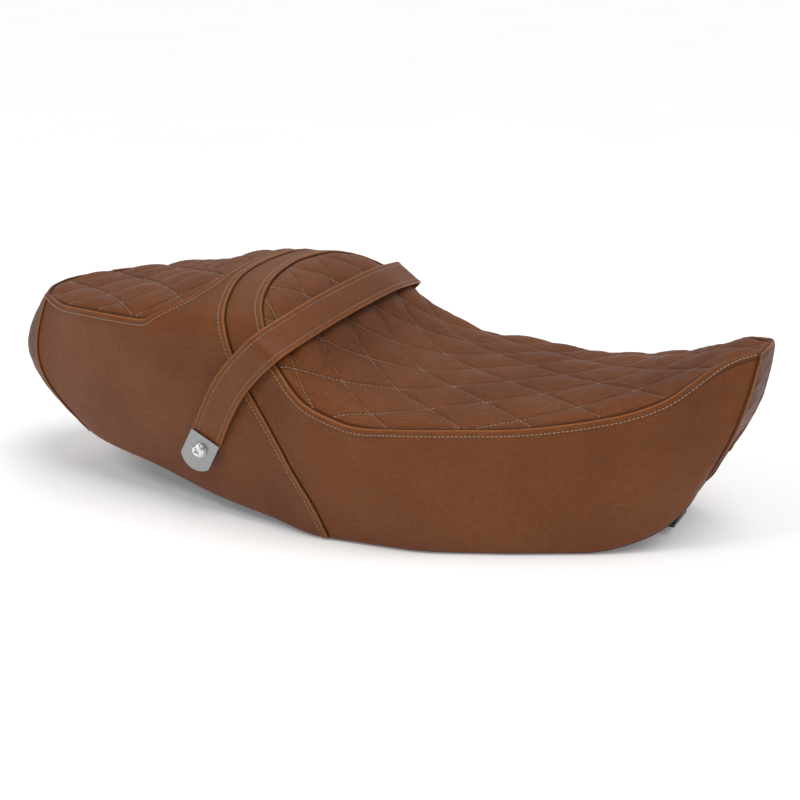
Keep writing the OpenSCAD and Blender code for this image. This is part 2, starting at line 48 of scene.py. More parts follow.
# x, crown height, shoulder height, shoulder half width, foot height, foot half width
STATIONS = [
    (-300, 169, 165, 65, 45, 74), (-250, 176, 171, 92, 41, 82), (-180, 190, 172, 113, 31, 95),
    (-110, 205, 173, 123, 16, 110), (-50, 200, 170, 132, 8, 122), (10, 147, 127, 150, 0, 132),
    (80, 124, 111, 150, 0, 132), (150, 125, 111, 128, 0, 115), (220, 132, 118, 104, 0, 88),
    (280, 147, 133, 78, 12, 66), (320, 163, 156, 46, 33, 51), (345, 167, 162, 24, 57, 40),
]
SQUARENESS = 3
SIDE_BULGE = 7
END_LENGTH = (100, 145)
END_LEAN = (46, -37)
END_BOW = (-26, 3)
END_ARCH = (-29, 8)
END_X = (-300, 345)
ENDS_FROM = 200  # the ends start to bend this far from the middle
# How far the end panels stand out: at the top edge, more below it, and the tail's turn or the nose's retreat
TAIL_REACH = (26, 20, 153)
NOSE_REACH = (3, 3, 12)
CAP_SHAPE = (2, 0.6)
# girth (0 crown, 1 shoulder, 2 foot), x
CROSS_SEAM = [(0, -104), (0.5, -100), (0.8, -91), (1, -79), (1.3, -55), (1.5, -21), (1.7, 2), (2, 15)]
RIDER_BORDER = [(0, -76), (0.5, -68), (0.8, -56), (1, -33), (1.5, 14), (2, 48)]
PASSENGER_BORDER = [(0, -119), (0.5, -118), (0.7, -124), (0.85, -137), (1, -165)]
# x, girth at which the quilted cushions' side seam runs
SIDE_SEAM = [
    (-300, 0.76), (-296, 0.83), (-287, 0.92), (-272, 0.98), (-250, 1), (-60, 1), (-33, 1.01), (10, 1.05),
    (40, 1.05), (80, 1.01), (110, 1), (250, 1), (285, 0.98), (307, 0.93), (325, 0.86), (337, 0.78), (345, 0.72),
]
LEATHER_T = 2.0
PAD_DEPTH = 5.0


def unit(v):
    return v / np.maximum(np.linalg.norm(v, axis=-1, keepdims=True), 1e-12)


def smooth(t):
    t = np.clip(t, 0, 1)
    return t * t * (3 - 2 * t)


def bell(distance, width):
    return np.exp(-(distance / width) ** 2)


def curve(rows, col=1):
    """Smooth curve through a column of a table, flat where the column turns back."""
    xs = np.array([r[0] for r in rows], float)
    ys = np.array([r[col] for r in rows], float)
    d = np.diff(ys) / np.diff(xs)
    m = np.concatenate([d[:1], (ys[2:] - ys[:-2]) / (xs[2:] - xs[:-2]), d[-1:]])
    m[1:-1][d[:-1] * d[1:] <= 0] = 0

    def at(x):
        x = np.asarray(x, float)
        i = np.clip(np.searchsorted(xs, x, side="right") - 1, 0, len(xs) - 2)
        w = xs[i + 1] - xs[i]
        t = (x - xs[i]) / w
        return ((2 * t**3 - 3 * t**2 + 1) * ys[i] + (3 * t**2 - 2 * t**3) * ys[i + 1]
                + w * (t**3 - 2 * t**2 + t) * m[i] + w * (t**3 - t**2) * m[i + 1])
    return at


crown_at, shoulder_at, half_at, foot_at, foot_half_at = (curve(STATIONS, c) for c in range(1, 6))
cross_at, rider_at = curve(CROSS_SEAM), curve(RIDER_BORDER)
passenger_at, side_at = curve(PASSENGER_BORDER), curve(SIDE_SEAM)


def ends(x, amount):
    tail = np.maximum(0, (-ENDS_FROM - x) / END_LENGTH[TAIL]) ** 2
    nose = np.maximum(0, (x - ENDS_FROM) / END_LENGTH[NOSE]) ** 2
    return amount[TAIL] * tail + amount[NOSE] * nose


def sharp_cover(x, g):
    """Outer face of the CAD cover at station x and girth g."""
    x, g = np.broadcast_arrays(np.asarray(x, float), np.asarray(g, float))
    u = np.abs(g)
    s = np.maximum(u - 1, 0)
    crown, shoulder, half = crown_at(x), shoulder_at(x), half_at(x)
    foot, foot_half = foot_at(x), foot_half_at(x)
    top = np.stack([x + ends(x, END_BOW) * (1 - g**2), g * half,
                    crown - (crown - shoulder) * u**SQUARENESS], -1)
    arch = np.sin(np.pi * s)
    side = np.stack([x + ends(x, END_LEAN) * s + ends(x, END_ARCH) * arch,
                     np.sign(g) * (half + (foot_half - half) * s + SIDE_BULGE * arch),
                     shoulder + (foot - shoulder) * s], -1)
    return np.where((u <= 1)[..., None], top, side)


SHOULDER_SPREAD = 0.1
SHOULDER_REACH = 0.35
SHOULDER_FILL = 2.4
# Girth steps over which the cover's slope is taken
ROLL_STEP, NORMAL_STEP = 0.12, 0.02


def cover(x, g):
    """Outer face of the cover, with its shoulder rolled over as leather drawn down on foam is."""
    x, g = np.broadcast_arrays(np.asarray(x, float), np.asarray(g, float))
    share = 1 - smooth(np.abs(np.abs(g) - 1) / SHOULDER_REACH)
    d = SHOULDER_SPREAD * share
    rolled = (2 * sharp_cover(x, g) + 2 * sharp_cover(x, g - d / 2) + 2 * sharp_cover(x, g + d / 2)
              + sharp_cover(x, g - d) + sharp_cover(x, g + d)) / 8
    across = sharp_cover(x, g + ROLL_STEP) - sharp_cover(x, g - ROLL_STEP)
    along = sharp_cover(x + 1, g) - sharp_cover(x - 1, g)
    return rolled + SHOULDER_FILL * share[..., None] * unit(np.cross(along, across))


def normal(x, g):
    along = cover(x + 1, g) - cover(x - 1, g)
    return unit(np.cross(along, cover(x, g + NORMAL_STEP) - cover(x, g - NORMAL_STEP)))


def skin(x, g, height=0.0):
    """Point at a height above the cover, square to it."""
    return cover(x, g) + np.asarray(height, float)[..., None] * normal(x, g)


def cap(e, s, t, depth=0.0):
    """Outer face of the tail or nose panel: s 0 at its top edge and 1 at its foot, t across from -1 to 1."""
    s, t = np.broadcast_arrays(np.asarray(s, float), np.asarray(t, float))
    x_end = float(END_X[e])
    edge = skin(x_end, 1 + s, np.full(s.shape, -depth))
    rise = crown_at(x_end) - shoulder_at(x_end)
    if e == TAIL:
        reach = depth - TAIL_REACH[0] - TAIL_REACH[1] * np.sin(np.radians(TAIL_REACH[2] * s))
    else:
        reach = NOSE_REACH[0] + NOSE_REACH[1] * np.sin(np.pi * s) - NOSE_REACH[2] * s**2 - depth
    body = np.stack([edge[..., 0] + reach * (1 - np.abs(t) ** (CAP_SHAPE[0] + CAP_SHAPE[1] * np.sin(np.pi * s))),
                     t * edge[..., 1],
                     edge[..., 2] + rise * (1 - s) * (1 - np.abs(t) ** SQUARENESS)], -1)
    top = skin(np.full(s.shape, x_end), t, np.full(s.shape, -depth))
    return np.where((s < 1e-6)[..., None], top, body)


def place(r, k):
    """Station and girth at row r (-2 right foot to 2 left foot) and column k.
    Columns: 0 tail, 1 front of the passenger cushion, 2 cross seam, 3 rear of the rider cushion, 4 nose."""
    r, k = np.broadcast_arrays(np.asarray(r, float), np.asarray(k, float))
    u = np.abs(r)
    b = np.stack([np.full(u.shape, float(END_X[0])), passenger_at(np.minimum(u, 1)), cross_at(u), rider_at(u),
                  np.full(u.shape, float(END_X[1]))], -1)
    i = np.clip(np.floor(k).astype(int), 0, 3)[..., None]
    lo = np.take_along_axis(b, i, -1)[..., 0]
    hi = np.take_along_axis(b, i + 1, -1)[..., 0]
    x = lo + (hi - lo) * (k - i[..., 0])
    side = side_at(x)
    g = np.sign(r) * np.where(u <= 1, u * side, side + (u - 1) * (2 - side))
    return x, g


# -------------------- meshes

def make(name, points, faces, material=None, shade=True):
    """Mesh object from points in mm."""
    mesh = bpy.data.meshes.new(name)
    mesh.from_pydata((np.asarray(points) * MM).tolist(), [], [tuple(int(i) for i in f) for f in faces])
    mesh.update()
    if shade:
        mesh.polygons.foreach_set("use_smooth", [True] * len(mesh.polygons))
    obj = bpy.data.objects.new(name, mesh)
    bpy.context.scene.collection.objects.link(obj)
    if material is not None:
        mesh.materials.append(material)
    return obj


def paint(obj, name, values):
    """Number for each vertex, which a material reads by name."""
    attribute = obj.data.attributes.new(name, "FLOAT", "POINT")
    attribute.data.foreach_set("value", np.asarray(values, np.float32))


def grid_faces(kept):
    """Quads of a grid's kept cells, counter-clockwise seen from outside, and the open edges round them."""
    ni, nj = kept.shape
    index = np.arange((ni + 1) * (nj + 1)).reshape(ni + 1, nj + 1)
    a, b = index[:-1, :-1][kept], index[1:, :-1][kept]
    c, d = index[1:, 1:][kept], index[:-1, 1:][kept]
    quads = np.stack([a, d, c, b], -1)
    padded = np.zeros((ni + 2, nj + 2), bool)
    padded[1:-1, 1:-1] = kept
    edges = []
    for di, dj, p, q in ((0, -1, a, b), (1, 0, b, c), (0, 1, c, d), (-1, 0, d, a)):
        neighbour = padded[1 + di:ni + 1 + di, 1 + dj:nj + 1 + dj][kept]
        edges.append(np.stack([p[~neighbour], q[~neighbour]], -1))
    return quads, np.concatenate(edges)


def closed_shell(name, outer, inner, kept, material, painted_shade):
    """Closed piece between two grids of points, over the cells that are kept."""
    quads, edges = grid_faces(kept)
    n = outer.shape[0] * outer.shape[1]
    walls = np.stack([edges[:, 0], edges[:, 1], edges[:, 1] + n, edges[:, 0] + n], -1)
    faces = np.concatenate([quads, quads[:, ::-1] + n, walls])
    points = np.concatenate([outer.reshape(-1, 3), inner.reshape(-1, 3)])
    used = np.unique(faces)
    remap = np.full(len(points), -1)
    remap[used] = np.arange(len(used))
    obj = make(name, points[used], remap[faces], material)
    # painted shade, one number for each vertex, which the leather material reads
    paint(obj, "painted_shade", np.tile(np.ravel(painted_shade), 2)[used])
    return obj


def face_outward(obj):
    """Turns a closed piece's faces outward."""
    mesh = bmesh.new()
    mesh.from_mesh(obj.data)
    bmesh.ops.recalc_face_normals(mesh, faces=mesh.faces)
    mesh.to_mesh(obj.data)
    mesh.free()


def sweep(name, rings, material, edge, painted_shade, closed_path=False):
    """Closed tube through rings of points, shape (n, m, 3), with its faces outward."""
    n, m = rings.shape[:2]
    index = np.arange(n * m).reshape(n, m)
    nxt = np.roll(index, -1, 1)
    last = n if closed_path else n - 1
    follow = np.roll(index, -1, 0)
    follow_next = np.roll(follow, -1, 1)
    faces = np.stack([index[:last], nxt[:last], follow_next[:last], follow[:last]], -1)
    faces = faces.reshape(-1, 4).tolist()
    if not closed_path:
        faces += [index[0][::-1].tolist(), index[-1].tolist()]
    obj = make(name, rings.reshape(-1, 3), faces, material)
    # pale folded edges, and painted shade, as numbers for each vertex that the leather material reads
    for label, values in (("edge", edge), ("painted_shade", painted_shade)):
        paint(obj, label, np.broadcast_to(values, (n, m)).ravel())
    face_outward(obj)
    return obj


def length_along(points):
    return np.concatenate([[0], np.cumsum(np.linalg.norm(np.diff(points, axis=0), axis=1))])


def resample(points, step):
    """The same line with points at equal steps."""
    return resample_like(points, points, max(2, int(round(length_along(points)[-1] / step)) + 1))


def resample_like(points, values, count):
    """Values that go with points, at equal steps along them."""
    length = length_along(points)
    at = np.linspace(0, length[-1], count)
    return np.stack([np.interp(at, length, values[:, c]) for c in range(values.shape[1])], -1)


def apart(points, gap=1e-6):
    """Which points of a line stand further than a gap from the one before."""
    return np.concatenate([[True], np.linalg.norm(np.diff(points, axis=0), axis=1) > gap])


def smoothed(values, passes=6):
    for _ in range(passes):
        values = np.concatenate([values[:1], (values[:-2] + 2 * values[1:-1] + values[2:]) / 4, values[-1:]])
    return values


def tangents(points):
    return unit(np.gradient(points, axis=0))


# A stitch as rings of thread. At each ring, as shares of its half length or radius: place, thickness, sinking
STITCH_PLACE = np.array([-1, -0.86, -0.4, 0.4, 0.86, 1])
STITCH_THICK = np.array([0.15, 0.75, 1, 1, 0.75, 0.15])
STITCH_SINK = np.array([-1.5, -0.55, 0.1, 0.1, -0.55, -1.5])
STITCH_SIDES = 6
STITCH_YAW = 0.045  # spread of the stitches' directions, in radians
STITCH_STEP = 0.5


def stitch_row(points, out, pitch, length, radius, seed):
    """Sewn dashes of thread along a line of points with outward directions: points, side faces and end faces."""
    line = resample(np.concatenate([points, out], 1), STITCH_STEP)
    per = max(1, int(round(pitch / STITCH_STEP)))
    middle = np.arange(per // 2, len(line), per)
    t = tangents(line[:, :3])[middle]
    centre, n = line[middle, :3], unit(line[middle, 3:])
    yaw = np.random.default_rng(seed).normal(0, STITCH_YAW, len(middle))[:, None]
    t = unit(t + yaw * unit(np.cross(n, t)))
    s = unit(np.cross(n, t))
    angle = np.arange(STITCH_SIDES) * 2 * math.pi / STITCH_SIDES
    up = STITCH_THICK[:, None] * np.sin(angle) * radius + (STITCH_SINK * radius)[:, None]
    sideways = STITCH_THICK[:, None] * np.cos(angle) * radius
    p = (centre[:, None, None, :] + t[:, None, None, :] * (STITCH_PLACE * length / 2)[None, :, None, None]
         + n[:, None, None, :] * up[None, :, :, None] + s[:, None, None, :] * sideways[None, :, :, None])
    base = np.arange(len(STITCH_PLACE) * STITCH_SIDES).reshape(-1, STITCH_SIDES)
    nxt = np.roll(base, -1, 1)
    first = (np.arange(len(middle)) * base.size)[:, None, None]
    sides = np.stack([base[:-1], nxt[:-1], nxt[1:], base[1:]], -1).reshape(-1, 4)
    caps = np.stack([base[0][::-1], base[-1]])
    return p.reshape(-1, 3), (sides + first).reshape(-1, 4), (caps + first).reshape(-1, STITCH_SIDES)


def surface_of(*objects):
    """Search trees of objects' surfaces, in mm."""
    trees = []
    for obj in objects:
        points = [v.co / MM for v in obj.data.vertices]
        trees.append(BVHTree.FromPolygons(points, [tuple(p.vertices) for p in obj.data.polygons]))
    return trees


def on_surface(points, out, trees, lift, reach=12.0):
    """The points moved along their outward directions onto the outermost surface there, plus a lift."""
    moved = points.copy()
    for i, (p, n) in enumerate(zip(points, out)):
        start = Vector(p + n * reach)
        hits = [tree.ray_cast(start, Vector(-n), 2 * reach)[3] for tree in trees]
        hits = [h for h in hits if h is not None]
        if hits:
            moved[i] = p + n * (reach - min(hits) + lift)
    return moved


def stitches(name, rows, material):
    """One mesh of rows of stitches."""
    points, faces, base = [], [], 0
    for p, quads, caps in rows:
        points.append(p)
        faces += (quads + base).tolist() + (caps + base).tolist()
        base += len(p)
    return make(name, np.concatenate(points), faces, material)


# -------------------- materials

def nodes_of(name):
    material = bpy.data.materials.new(name)
    material.use_nodes = True
    tree = material.node_tree
    return material, tree, tree.nodes["Principled BSDF"]


def add(tree, kind, **values):
    node = tree.nodes.new(kind)
    for key, value in values.items():
        if isinstance(key, str) and key.startswith("in_"):
            node.inputs[key[3:].replace("_", " ")].default_value = value
        else:
            setattr(node, key, value)
    return node


def link(tree, a, out, b, into):
    tree.links.new(a.outputs[out], b.inputs[into])


def object_coords(tree, scale=(1, 1, 1)):
    coords = add(tree, "ShaderNodeTexCoord")
    mapping = add(tree, "ShaderNodeMapping")
    mapping.inputs["Scale"].default_value = scale
    link(tree, coords, "Object", mapping, "Vector")
    return mapping


def ramp(tree, source, out, stops):
    node = add(tree, "ShaderNodeValToRGB")
    elements = node.color_ramp.elements
    while len(elements) < len(stops):
        elements.new(0.5)
    for element, (position, color) in zip(elements, stops):
        element.position = position
        element.color = (*color, 1) if len(color) == 3 else color
    link(tree, source, out, node, "Fac")
    return node


MIXED = 2  # a colour mix's output


def mix(tree, kind, factor, a, b):
    """Colour mix; factor, a and b are numbers, colours or (node, output)."""
    node = add(tree, "ShaderNodeMix", data_type="RGBA", blend_type=kind)
    for index, value in ((0, factor), (6, a), (7, b)):
        if isinstance(value, tuple) and len(value) == 2 and hasattr(value[0], "outputs"):
            tree.links.new(value[0].outputs[value[1]], node.inputs[index])
        elif index == 0:
            node.inputs[0].default_value = value
        else:
            node.inputs[index].default_value = (*value, 1)
    return node


def noise_texture(tree, coords, **values):
    node = add(tree, "ShaderNodeTexNoise", **values)
    link(tree, coords, "Vector", node, "Vector")
    return node


def relief(tree, source, out, strength, distance, under=None):
    """Bump from a texture, laid on another bump."""
    node = add(tree, "ShaderNodeBump", in_Strength=strength, in_Distance=distance)
    link(tree, source, out, node, "Height")
    if under:
        link(tree, under, "Normal", node, "Normal")
    return node


def finish_with(tree, shader, tone, out, top, shine_from=None, rough=0.0, duller=0.0, brighter=0.0):
    """Joins colour, relief and, where a texture is given, roughness to the shader."""
    link(tree, tone, out, shader, "Base Color")
    link(tree, top, "Normal", shader, "Normal")
    if shine_from:
        shine = ramp(tree, shine_from, "Fac", [(0.3, (rough + duller,) * 3), (0.7, (rough - brighter,) * 3)])
        link(tree, shine, "Color", shader, "Roughness")


BLACK, WHITE = (0, 0, 0), (1, 1, 1)
CREASE_WAY = (0.35, 0.5, 0.6)
CREASE_SCALE = (70, 190, 130)


def leather(name, base, dark, light, edge, grain=1.0, crease=0.5, rough=0.4):
    """Waxed leather: mottled brown, with painted shade in its channels and seams, pale where it is folded, with
    fine grain.
    """
    material, tree, shader = nodes_of(name)
    coords = object_coords(tree)
    cloud = noise_texture(tree, coords, in_Scale=9.0, in_Detail=4.0, in_Roughness=0.55)
    tone = ramp(tree, cloud, "Fac", [(0.32, dark), (0.5, base), (0.72, light)])
    fleck = noise_texture(tree, coords, in_Scale=260.0, in_Detail=3.0, in_Roughness=0.6)
    fleck_tone = ramp(tree, fleck, "Fac", [(0.3, (0.78, 0.78, 0.78)), (0.62, (1.08, 1.08, 1.08))])
    toned = mix(tree, "MULTIPLY", 0.55, (tone, "Color"), (fleck_tone, "Color"))
    # Several outputs of a mix are called Result. The colour one is number MIXED
    # painted shade: a number at each vertex mixes the colour towards a deep brown where shade falls, in channels,
    # seams and under folds
    painted_shade = add(tree, "ShaderNodeAttribute", attribute_name="painted_shade")
    painted_shading = mix(tree, "MIX", (painted_shade, "Fac"), (toned, MIXED), tuple(c * 0.62 for c in dark))
    worn = add(tree, "ShaderNodeAttribute", attribute_name="edge")
    edged = mix(tree, "MIX", (worn, "Fac"), (painted_shading, MIXED), edge)
    # grain: small rounded cells
    cells = add(tree, "ShaderNodeTexVoronoi", feature="DISTANCE_TO_EDGE", in_Scale=620.0)
    warp = noise_texture(tree, coords, in_Scale=120.0, in_Detail=2.0)
    bent = add(tree, "ShaderNodeMix", data_type="VECTOR")
    bent.inputs[0].default_value = 0.006
    link(tree, coords, "Vector", bent, 4)
    link(tree, warp, "Color", bent, 5)
    link(tree, bent, 1, cells, "Vector")
    cell_height = ramp(tree, cells, "Distance", [(0.0, BLACK), (0.16, WHITE)])
    # creases, which run mostly one way
    crease_coords = object_coords(tree, CREASE_SCALE)
    crease_coords.inputs["Rotation"].default_value = CREASE_WAY
    lines = noise_texture(tree, crease_coords, in_Scale=2.6, in_Detail=5.0, in_Roughness=0.65, in_Distortion=0.9)
    line_height = ramp(tree, lines, "Fac", [(0.42, BLACK), (0.5, WHITE), (0.58, (0.35, 0.35, 0.35))])
    soft = noise_texture(tree, coords, in_Scale=45.0, in_Detail=2.0)
    fine = relief(tree, cell_height, "Color", 0.5 * grain, 0.0003)
    creased = relief(tree, line_height, "Color", 0.6 * crease, 0.0010, fine)
    top = relief(tree, soft, "Fac", 0.35, 0.0015, creased)
    finish_with(tree, shader, edged, MIXED, top, cloud, rough, 0.09, 0.04)
    shader.inputs["Specular IOR Level"].default_value = 0.3
    return material


def thread(name, color, dark):
    """Twisted polyester sewing thread."""
    material, tree, shader = nodes_of(name)
    twist = add(tree, "ShaderNodeTexWave", in_Scale=700.0, in_Distortion=1.5, in_Detail=1.0)
    twist.bands_direction = "DIAGONAL"
    link(tree, object_coords(tree), "Vector", twist, "Vector")
    tone = ramp(tree, twist, "Fac", [(0.2, dark), (0.7, color)])
    finish_with(tree, shader, tone, "Color", relief(tree, twist, "Fac", 0.4, 0.0001))
    shader.inputs["Roughness"].default_value = 0.6
    shader.inputs["Sheen Weight"].default_value = 0.2
    return material


def steel(name, color, rough, grain=(900, 60, 60)):
    """Brushed metal: fine lines in colour, roughness and relief."""
    material, tree, shader = nodes_of(name)
    lines = noise_texture(tree, object_coords(tree, grain), in_Scale=3.0, in_Detail=4.0, in_Roughness=0.6)
    tone = ramp(tree, lines, "Fac", [(0.3, tuple(c * 0.86 for c in color)), (0.7, color)])
    finish_with(tree, shader, tone, "Color", relief(tree, lines, "Fac", 0.12, 0.0001), lines, rough, 0.08, 0.04)
    shader.inputs["Metallic"].default_value = 1.0
    return material


def moulded(name, color, rough, relief_strength=0.5, scale=900.0, mottle=0.25):
    """Moulded plastic, rubber, foam or paint with a fine cast texture."""
    material, tree, shader = nodes_of(name)
    coords = object_coords(tree)
    cells = add(tree, "ShaderNodeTexVoronoi", in_Scale=scale)
    link(tree, coords, "Vector", cells, "Vector")
    cloud = noise_texture(tree, coords, in_Scale=14.0, in_Detail=4.0)
    low = tuple(c * (1 - mottle) for c in color)
    high = tuple(min(1, c * (1 + mottle)) for c in color)
    tone = ramp(tree, cloud, "Fac", [(0.3, low), (0.7, high)])
    top = relief(tree, cells, "Distance", relief_strength, 0.0002)
    finish_with(tree, shader, tone, "Color", top, cloud, rough, 0.06, 0.06)
    return material


BROWN = (0.158, 0.040, 0.003)
BROWN_DARK = (0.124, 0.030, 0.003)
BROWN_LIGHT = (0.182, 0.050, 0.006)
FOLD = (0.36, 0.118, 0.020)
quilt_leather = leather("quilted_leather", BROWN, BROWN_DARK, BROWN_LIGHT, FOLD, grain=0.7, crease=0.8)
plain_leather = leather("plain_leather", BROWN, BROWN_DARK, BROWN_LIGHT, FOLD, crease=0.75, rough=0.43)
end_leather = leather("end_leather", tuple(c * 0.8 for c in BROWN), tuple(c * 0.75 for c in BROWN_DARK),
                      BROWN, FOLD, crease=1.3, rough=0.45)
strap_leather = leather("strap_leather", tuple(c * 0.92 for c in BROWN), BROWN_DARK, BROWN_LIGHT, FOLD,
                        grain=0.5, crease=0.35, rough=0.38)
sewing = thread("sewing_thread", (0.36, 0.25, 0.175), (0.2, 0.13, 0.08))
dark_thread = thread("seam_thread", (0.05, 0.02, 0.009), (0.02, 0.009, 0.005))
plate_steel = steel("plate_steel", (0.34, 0.345, 0.35), 0.36, (60, 900, 500))
bright_steel = steel("screw_steel", (0.72, 0.72, 0.73), 0.2)
black_steel = moulded("black_steel", (0.02, 0.02, 0.022), 0.4, 0.25)
pan_plastic = moulded("pan_plastic", (0.016, 0.016, 0.017), 0.5, 0.5)
rubber = moulded("damper_rubber", (0.018, 0.018, 0.018), 0.72, 0.35, 1400)
foam = moulded("seat_foam", (0.66, 0.6, 0.42), 0.9, 0.9, 420)
brass = steel("brass", (0.62, 0.45, 0.18), 0.3)

# -------------------- camera, light and floor

VIEW_TARGET = Vector((0.0226, 0, 0.0862))
VIEW_AZIMUTH, VIEW_ELEVATION, VIEW_ROLL = math.radians(24.25), math.radians(16.94), math.radians(-1.15)
VIEW_DISTANCE = 1.5133
FOCAL_MM, SENSOR_MM = 76.54, 36
CLIP = (0.05, 30)
# Area lights: name, place, what it points at, size, power
LIGHTS = [
    ("key", (-0.75, -1.2, 1.35), (-0.05, 0, 0.1), (0.6, 0.45), 8),
    ("rim", (-0.5, 0.9, 1.1), (0, 0, 0.12), (0.7, 0.4), 1.6),
]
SUN_ENERGY, SUN_ANGLE = 1.75, math.radians(50)
SUN_TILT = (math.radians(8), math.radians(28), 0)
WORLD_STRENGTH = 0.42
FLOOR_HALF, FLOOR_GLOW = 40000, 0.14


def add_camera():
    a, e = VIEW_AZIMUTH, VIEW_ELEVATION
    back = Vector((math.sin(a) * math.cos(e), -math.cos(a) * math.cos(e), math.sin(e)))
    right = Vector((math.cos(a), math.sin(a), 0))
    up = back.cross(right)
    c, s = math.cos(VIEW_ROLL), math.sin(VIEW_ROLL)
    rolled_right, rolled_up = right * c + up * s, up * c - right * s
    data = bpy.data.cameras.new("camera")
    data.lens = FOCAL_MM
    data.sensor_width = SENSOR_MM
    data.clip_start, data.clip_end = CLIP
    camera = bpy.data.objects.new("camera", data)
    axes = Matrix((rolled_right, rolled_up, back)).transposed().to_4x4()
    camera.matrix_world = Matrix.Translation(VIEW_TARGET + back * VIEW_DISTANCE) @ axes
    bpy.context.scene.collection.objects.link(camera)
    bpy.context.scene.camera = camera


def add_light(name, location, target, size, power):
    data = bpy.data.lights.new(name, "AREA")
    data.shape = "RECTANGLE"
    data.size, data.size_y = size
    data.energy = power
    light = bpy.data.objects.new(name, data)
    light.location = location
    light.rotation_mode = "QUATERNION"
    light.rotation_quaternion = (Vector(target) - Vector(location)).to_track_quat("-Z", "Y")
    bpy.context.scene.collection.objects.link(light)


def add_stage():
    material, tree, shader = nodes_of("floor_paper")
    cloud = noise_texture(tree, object_coords(tree), in_Scale=3.0, in_Detail=2.0)
    tone = ramp(tree, cloud, "Fac", [(0.3, (0.93, 0.93, 0.93)), (0.7, (0.95, 0.95, 0.95))])
    link(tree, tone, "Color", shader, "Base Color")
    shader.inputs["Roughness"].default_value = 0.9
    shader.inputs["Specular IOR Level"].default_value = 0.1
    shader.inputs["Emission Color"].default_value = (1, 1, 1, 1)
    shader.inputs["Emission Strength"].default_value = FLOOR_GLOW
    corners = [(x * FLOOR_HALF, y * FLOOR_HALF, 0) for x, y in ((-1, -1), (1, -1), (1, 1), (-1, 1))]
    floor = make("floor", corners, [(0, 1, 2, 3)], material, shade=False)
    world = bpy.data.worlds.new("studio")
    bpy.context.scene.world = world
    world.use_nodes = True
    background = world.node_tree.nodes["Background"]
    background.inputs["Color"].default_value = (1, 1, 1, 1)
    background.inputs["Strength"].default_value = WORLD_STRENGTH
    for row in LIGHTS:
        add_light(*row)
    data = bpy.data.lights.new("overhead", "SUN")
    data.energy = SUN_ENERGY
    data.angle = SUN_ANGLE
    light = bpy.data.objects.new("overhead", data)
    light.rotation_euler = SUN_TILT
    bpy.context.scene.collection.objects.link(light)
    view = bpy.context.scene.view_settings
    view.view_transform = "Standard"
    view.look = "None"


add_camera()
add_stage()

# -------------------- seams, as lines on the cover

SEAM_STEP = 1.0
SEAM_SMOOTHING = 110
# How far to the side, in rows or columns, a seam's folded side is felt for
SIDE_ROW, SIDE_COLUMN, CROSS_COLUMN = 0.03, 0.06, -0.03
SEAM_MIDDLE = np.array([0.0, 0.0, 80.0])
CROSS_FOOT = 1.97  # the cross seam's last row
END_SEAM_FOOT = 0.97
END_SEAM_POINTS = 240
INSIDE = 0.05  # share of an end panel by which the points inside it stand in


def seam_pair(both, passes=0):
    """A seam at equal steps: its points, and points a little to its folded side."""
    both = smoothed(resample(both, SEAM_STEP), passes)
    return both[:, :3], both[:, 3:]


def beside(r, k, side_r, side_k):
    """Points of the cover at rows r and columns k, each with the point a little to its side."""
    return np.concatenate([skin(*place(r, k)), skin(*place(r + side_r, k + side_k))], 1)


def row_line(r, k0, k1, count=700):
    k = np.linspace(k0, k1, count)
    return np.full(count, float(r)), k


def column_line(k, r0, r1, count=500):
    r = np.linspace(r0, r1, count)
    return r, np.full(count, float(k))


def quilt_seam(k_start, k_end, lean_k):
    """Seam round a quilted cushion, from the end panel along one side, over the top and back."""
    lines = row_line(-1, k_end, k_start), column_line(k_start, -1, 1), row_line(1, k_start, k_end)
    r, k = (np.concatenate(part) for part in zip(*lines))
    side, over = len(lines[0][0]), len(lines[1][0])
    side_r = np.repeat([-SIDE_ROW, 0, SIDE_ROW], [side, over, side])
    side_k = np.repeat([0, lean_k, 0], [side, over, side])
    both = beside(r, k, side_r, side_k)
    return seam_pair(both[apart(both[:, :3])], SEAM_SMOOTHING)


rider_seam = quilt_seam(3.0, 3.985, -SIDE_COLUMN)
passenger_seam = quilt_seam(1.0, 0.02, SIDE_COLUMN)
cross_seam = seam_pair(beside(*column_line(2, -CROSS_FOOT, CROSS_FOOT, 900), 0, CROSS_COLUMN))


def end_seam(e):
    """Seam round an end panel, up one corner and down the other, with points inside the panel."""
    s = np.linspace(END_SEAM_FOOT, 0, END_SEAM_POINTS)
    t = np.linspace(-1, 1, END_SEAM_POINTS)
    one = np.ones(END_SEAM_POINTS)

    def round_panel(top, side):
        corner = np.maximum(s, top)
        return np.concatenate([cap(e, corner, -side * one), cap(e, top * one, t * side),
                               cap(e, corner[::-1], side * one)])
    line = round_panel(0, 1)
    return seam_pair(np.concatenate([line, round_panel(INSIDE, 1 - INSIDE)], 1)[apart(line)])


end_seams = [end_seam(TAIL), end_seam(NOSE)]


def seam_frame(seam):
    """Along, to the folded side, and out, at each point of a seam."""
    p, q = seam
    t = tangents(p)
    away = q - p
    b = unit(away - (away * t).sum(-1, keepdims=True) * t)
    n = unit(np.cross(t, b))
    flip = np.sign(((p - SEAM_MIDDLE) * n).sum(-1, keepdims=True))
    return t, b, n * flip


def seam_distance(points, seams):
    """How far each point is from the nearest seam."""
    samples = np.concatenate([s[0] for s in seams])
    tree = KDTree(len(samples))
    for i, p in enumerate(samples):
        tree.insert(p, i)
    tree.balance()
    return np.array([tree.find(p)[2] for p in points.reshape(-1, 3)]).reshape(points.shape[:-1])


# -------------------- quilting

ARC_X = np.arange(-345.0, 346.0, 1.0)
CREST = cover(np.clip(ARC_X, *END_X), 0.0)
ARC_LENGTH = np.concatenate([[0], np.cumsum(np.hypot(np.diff(ARC_X), np.diff(CREST[:, 2])))])
ARC_STEPS, ARC_GIRTH = 40, 1.15
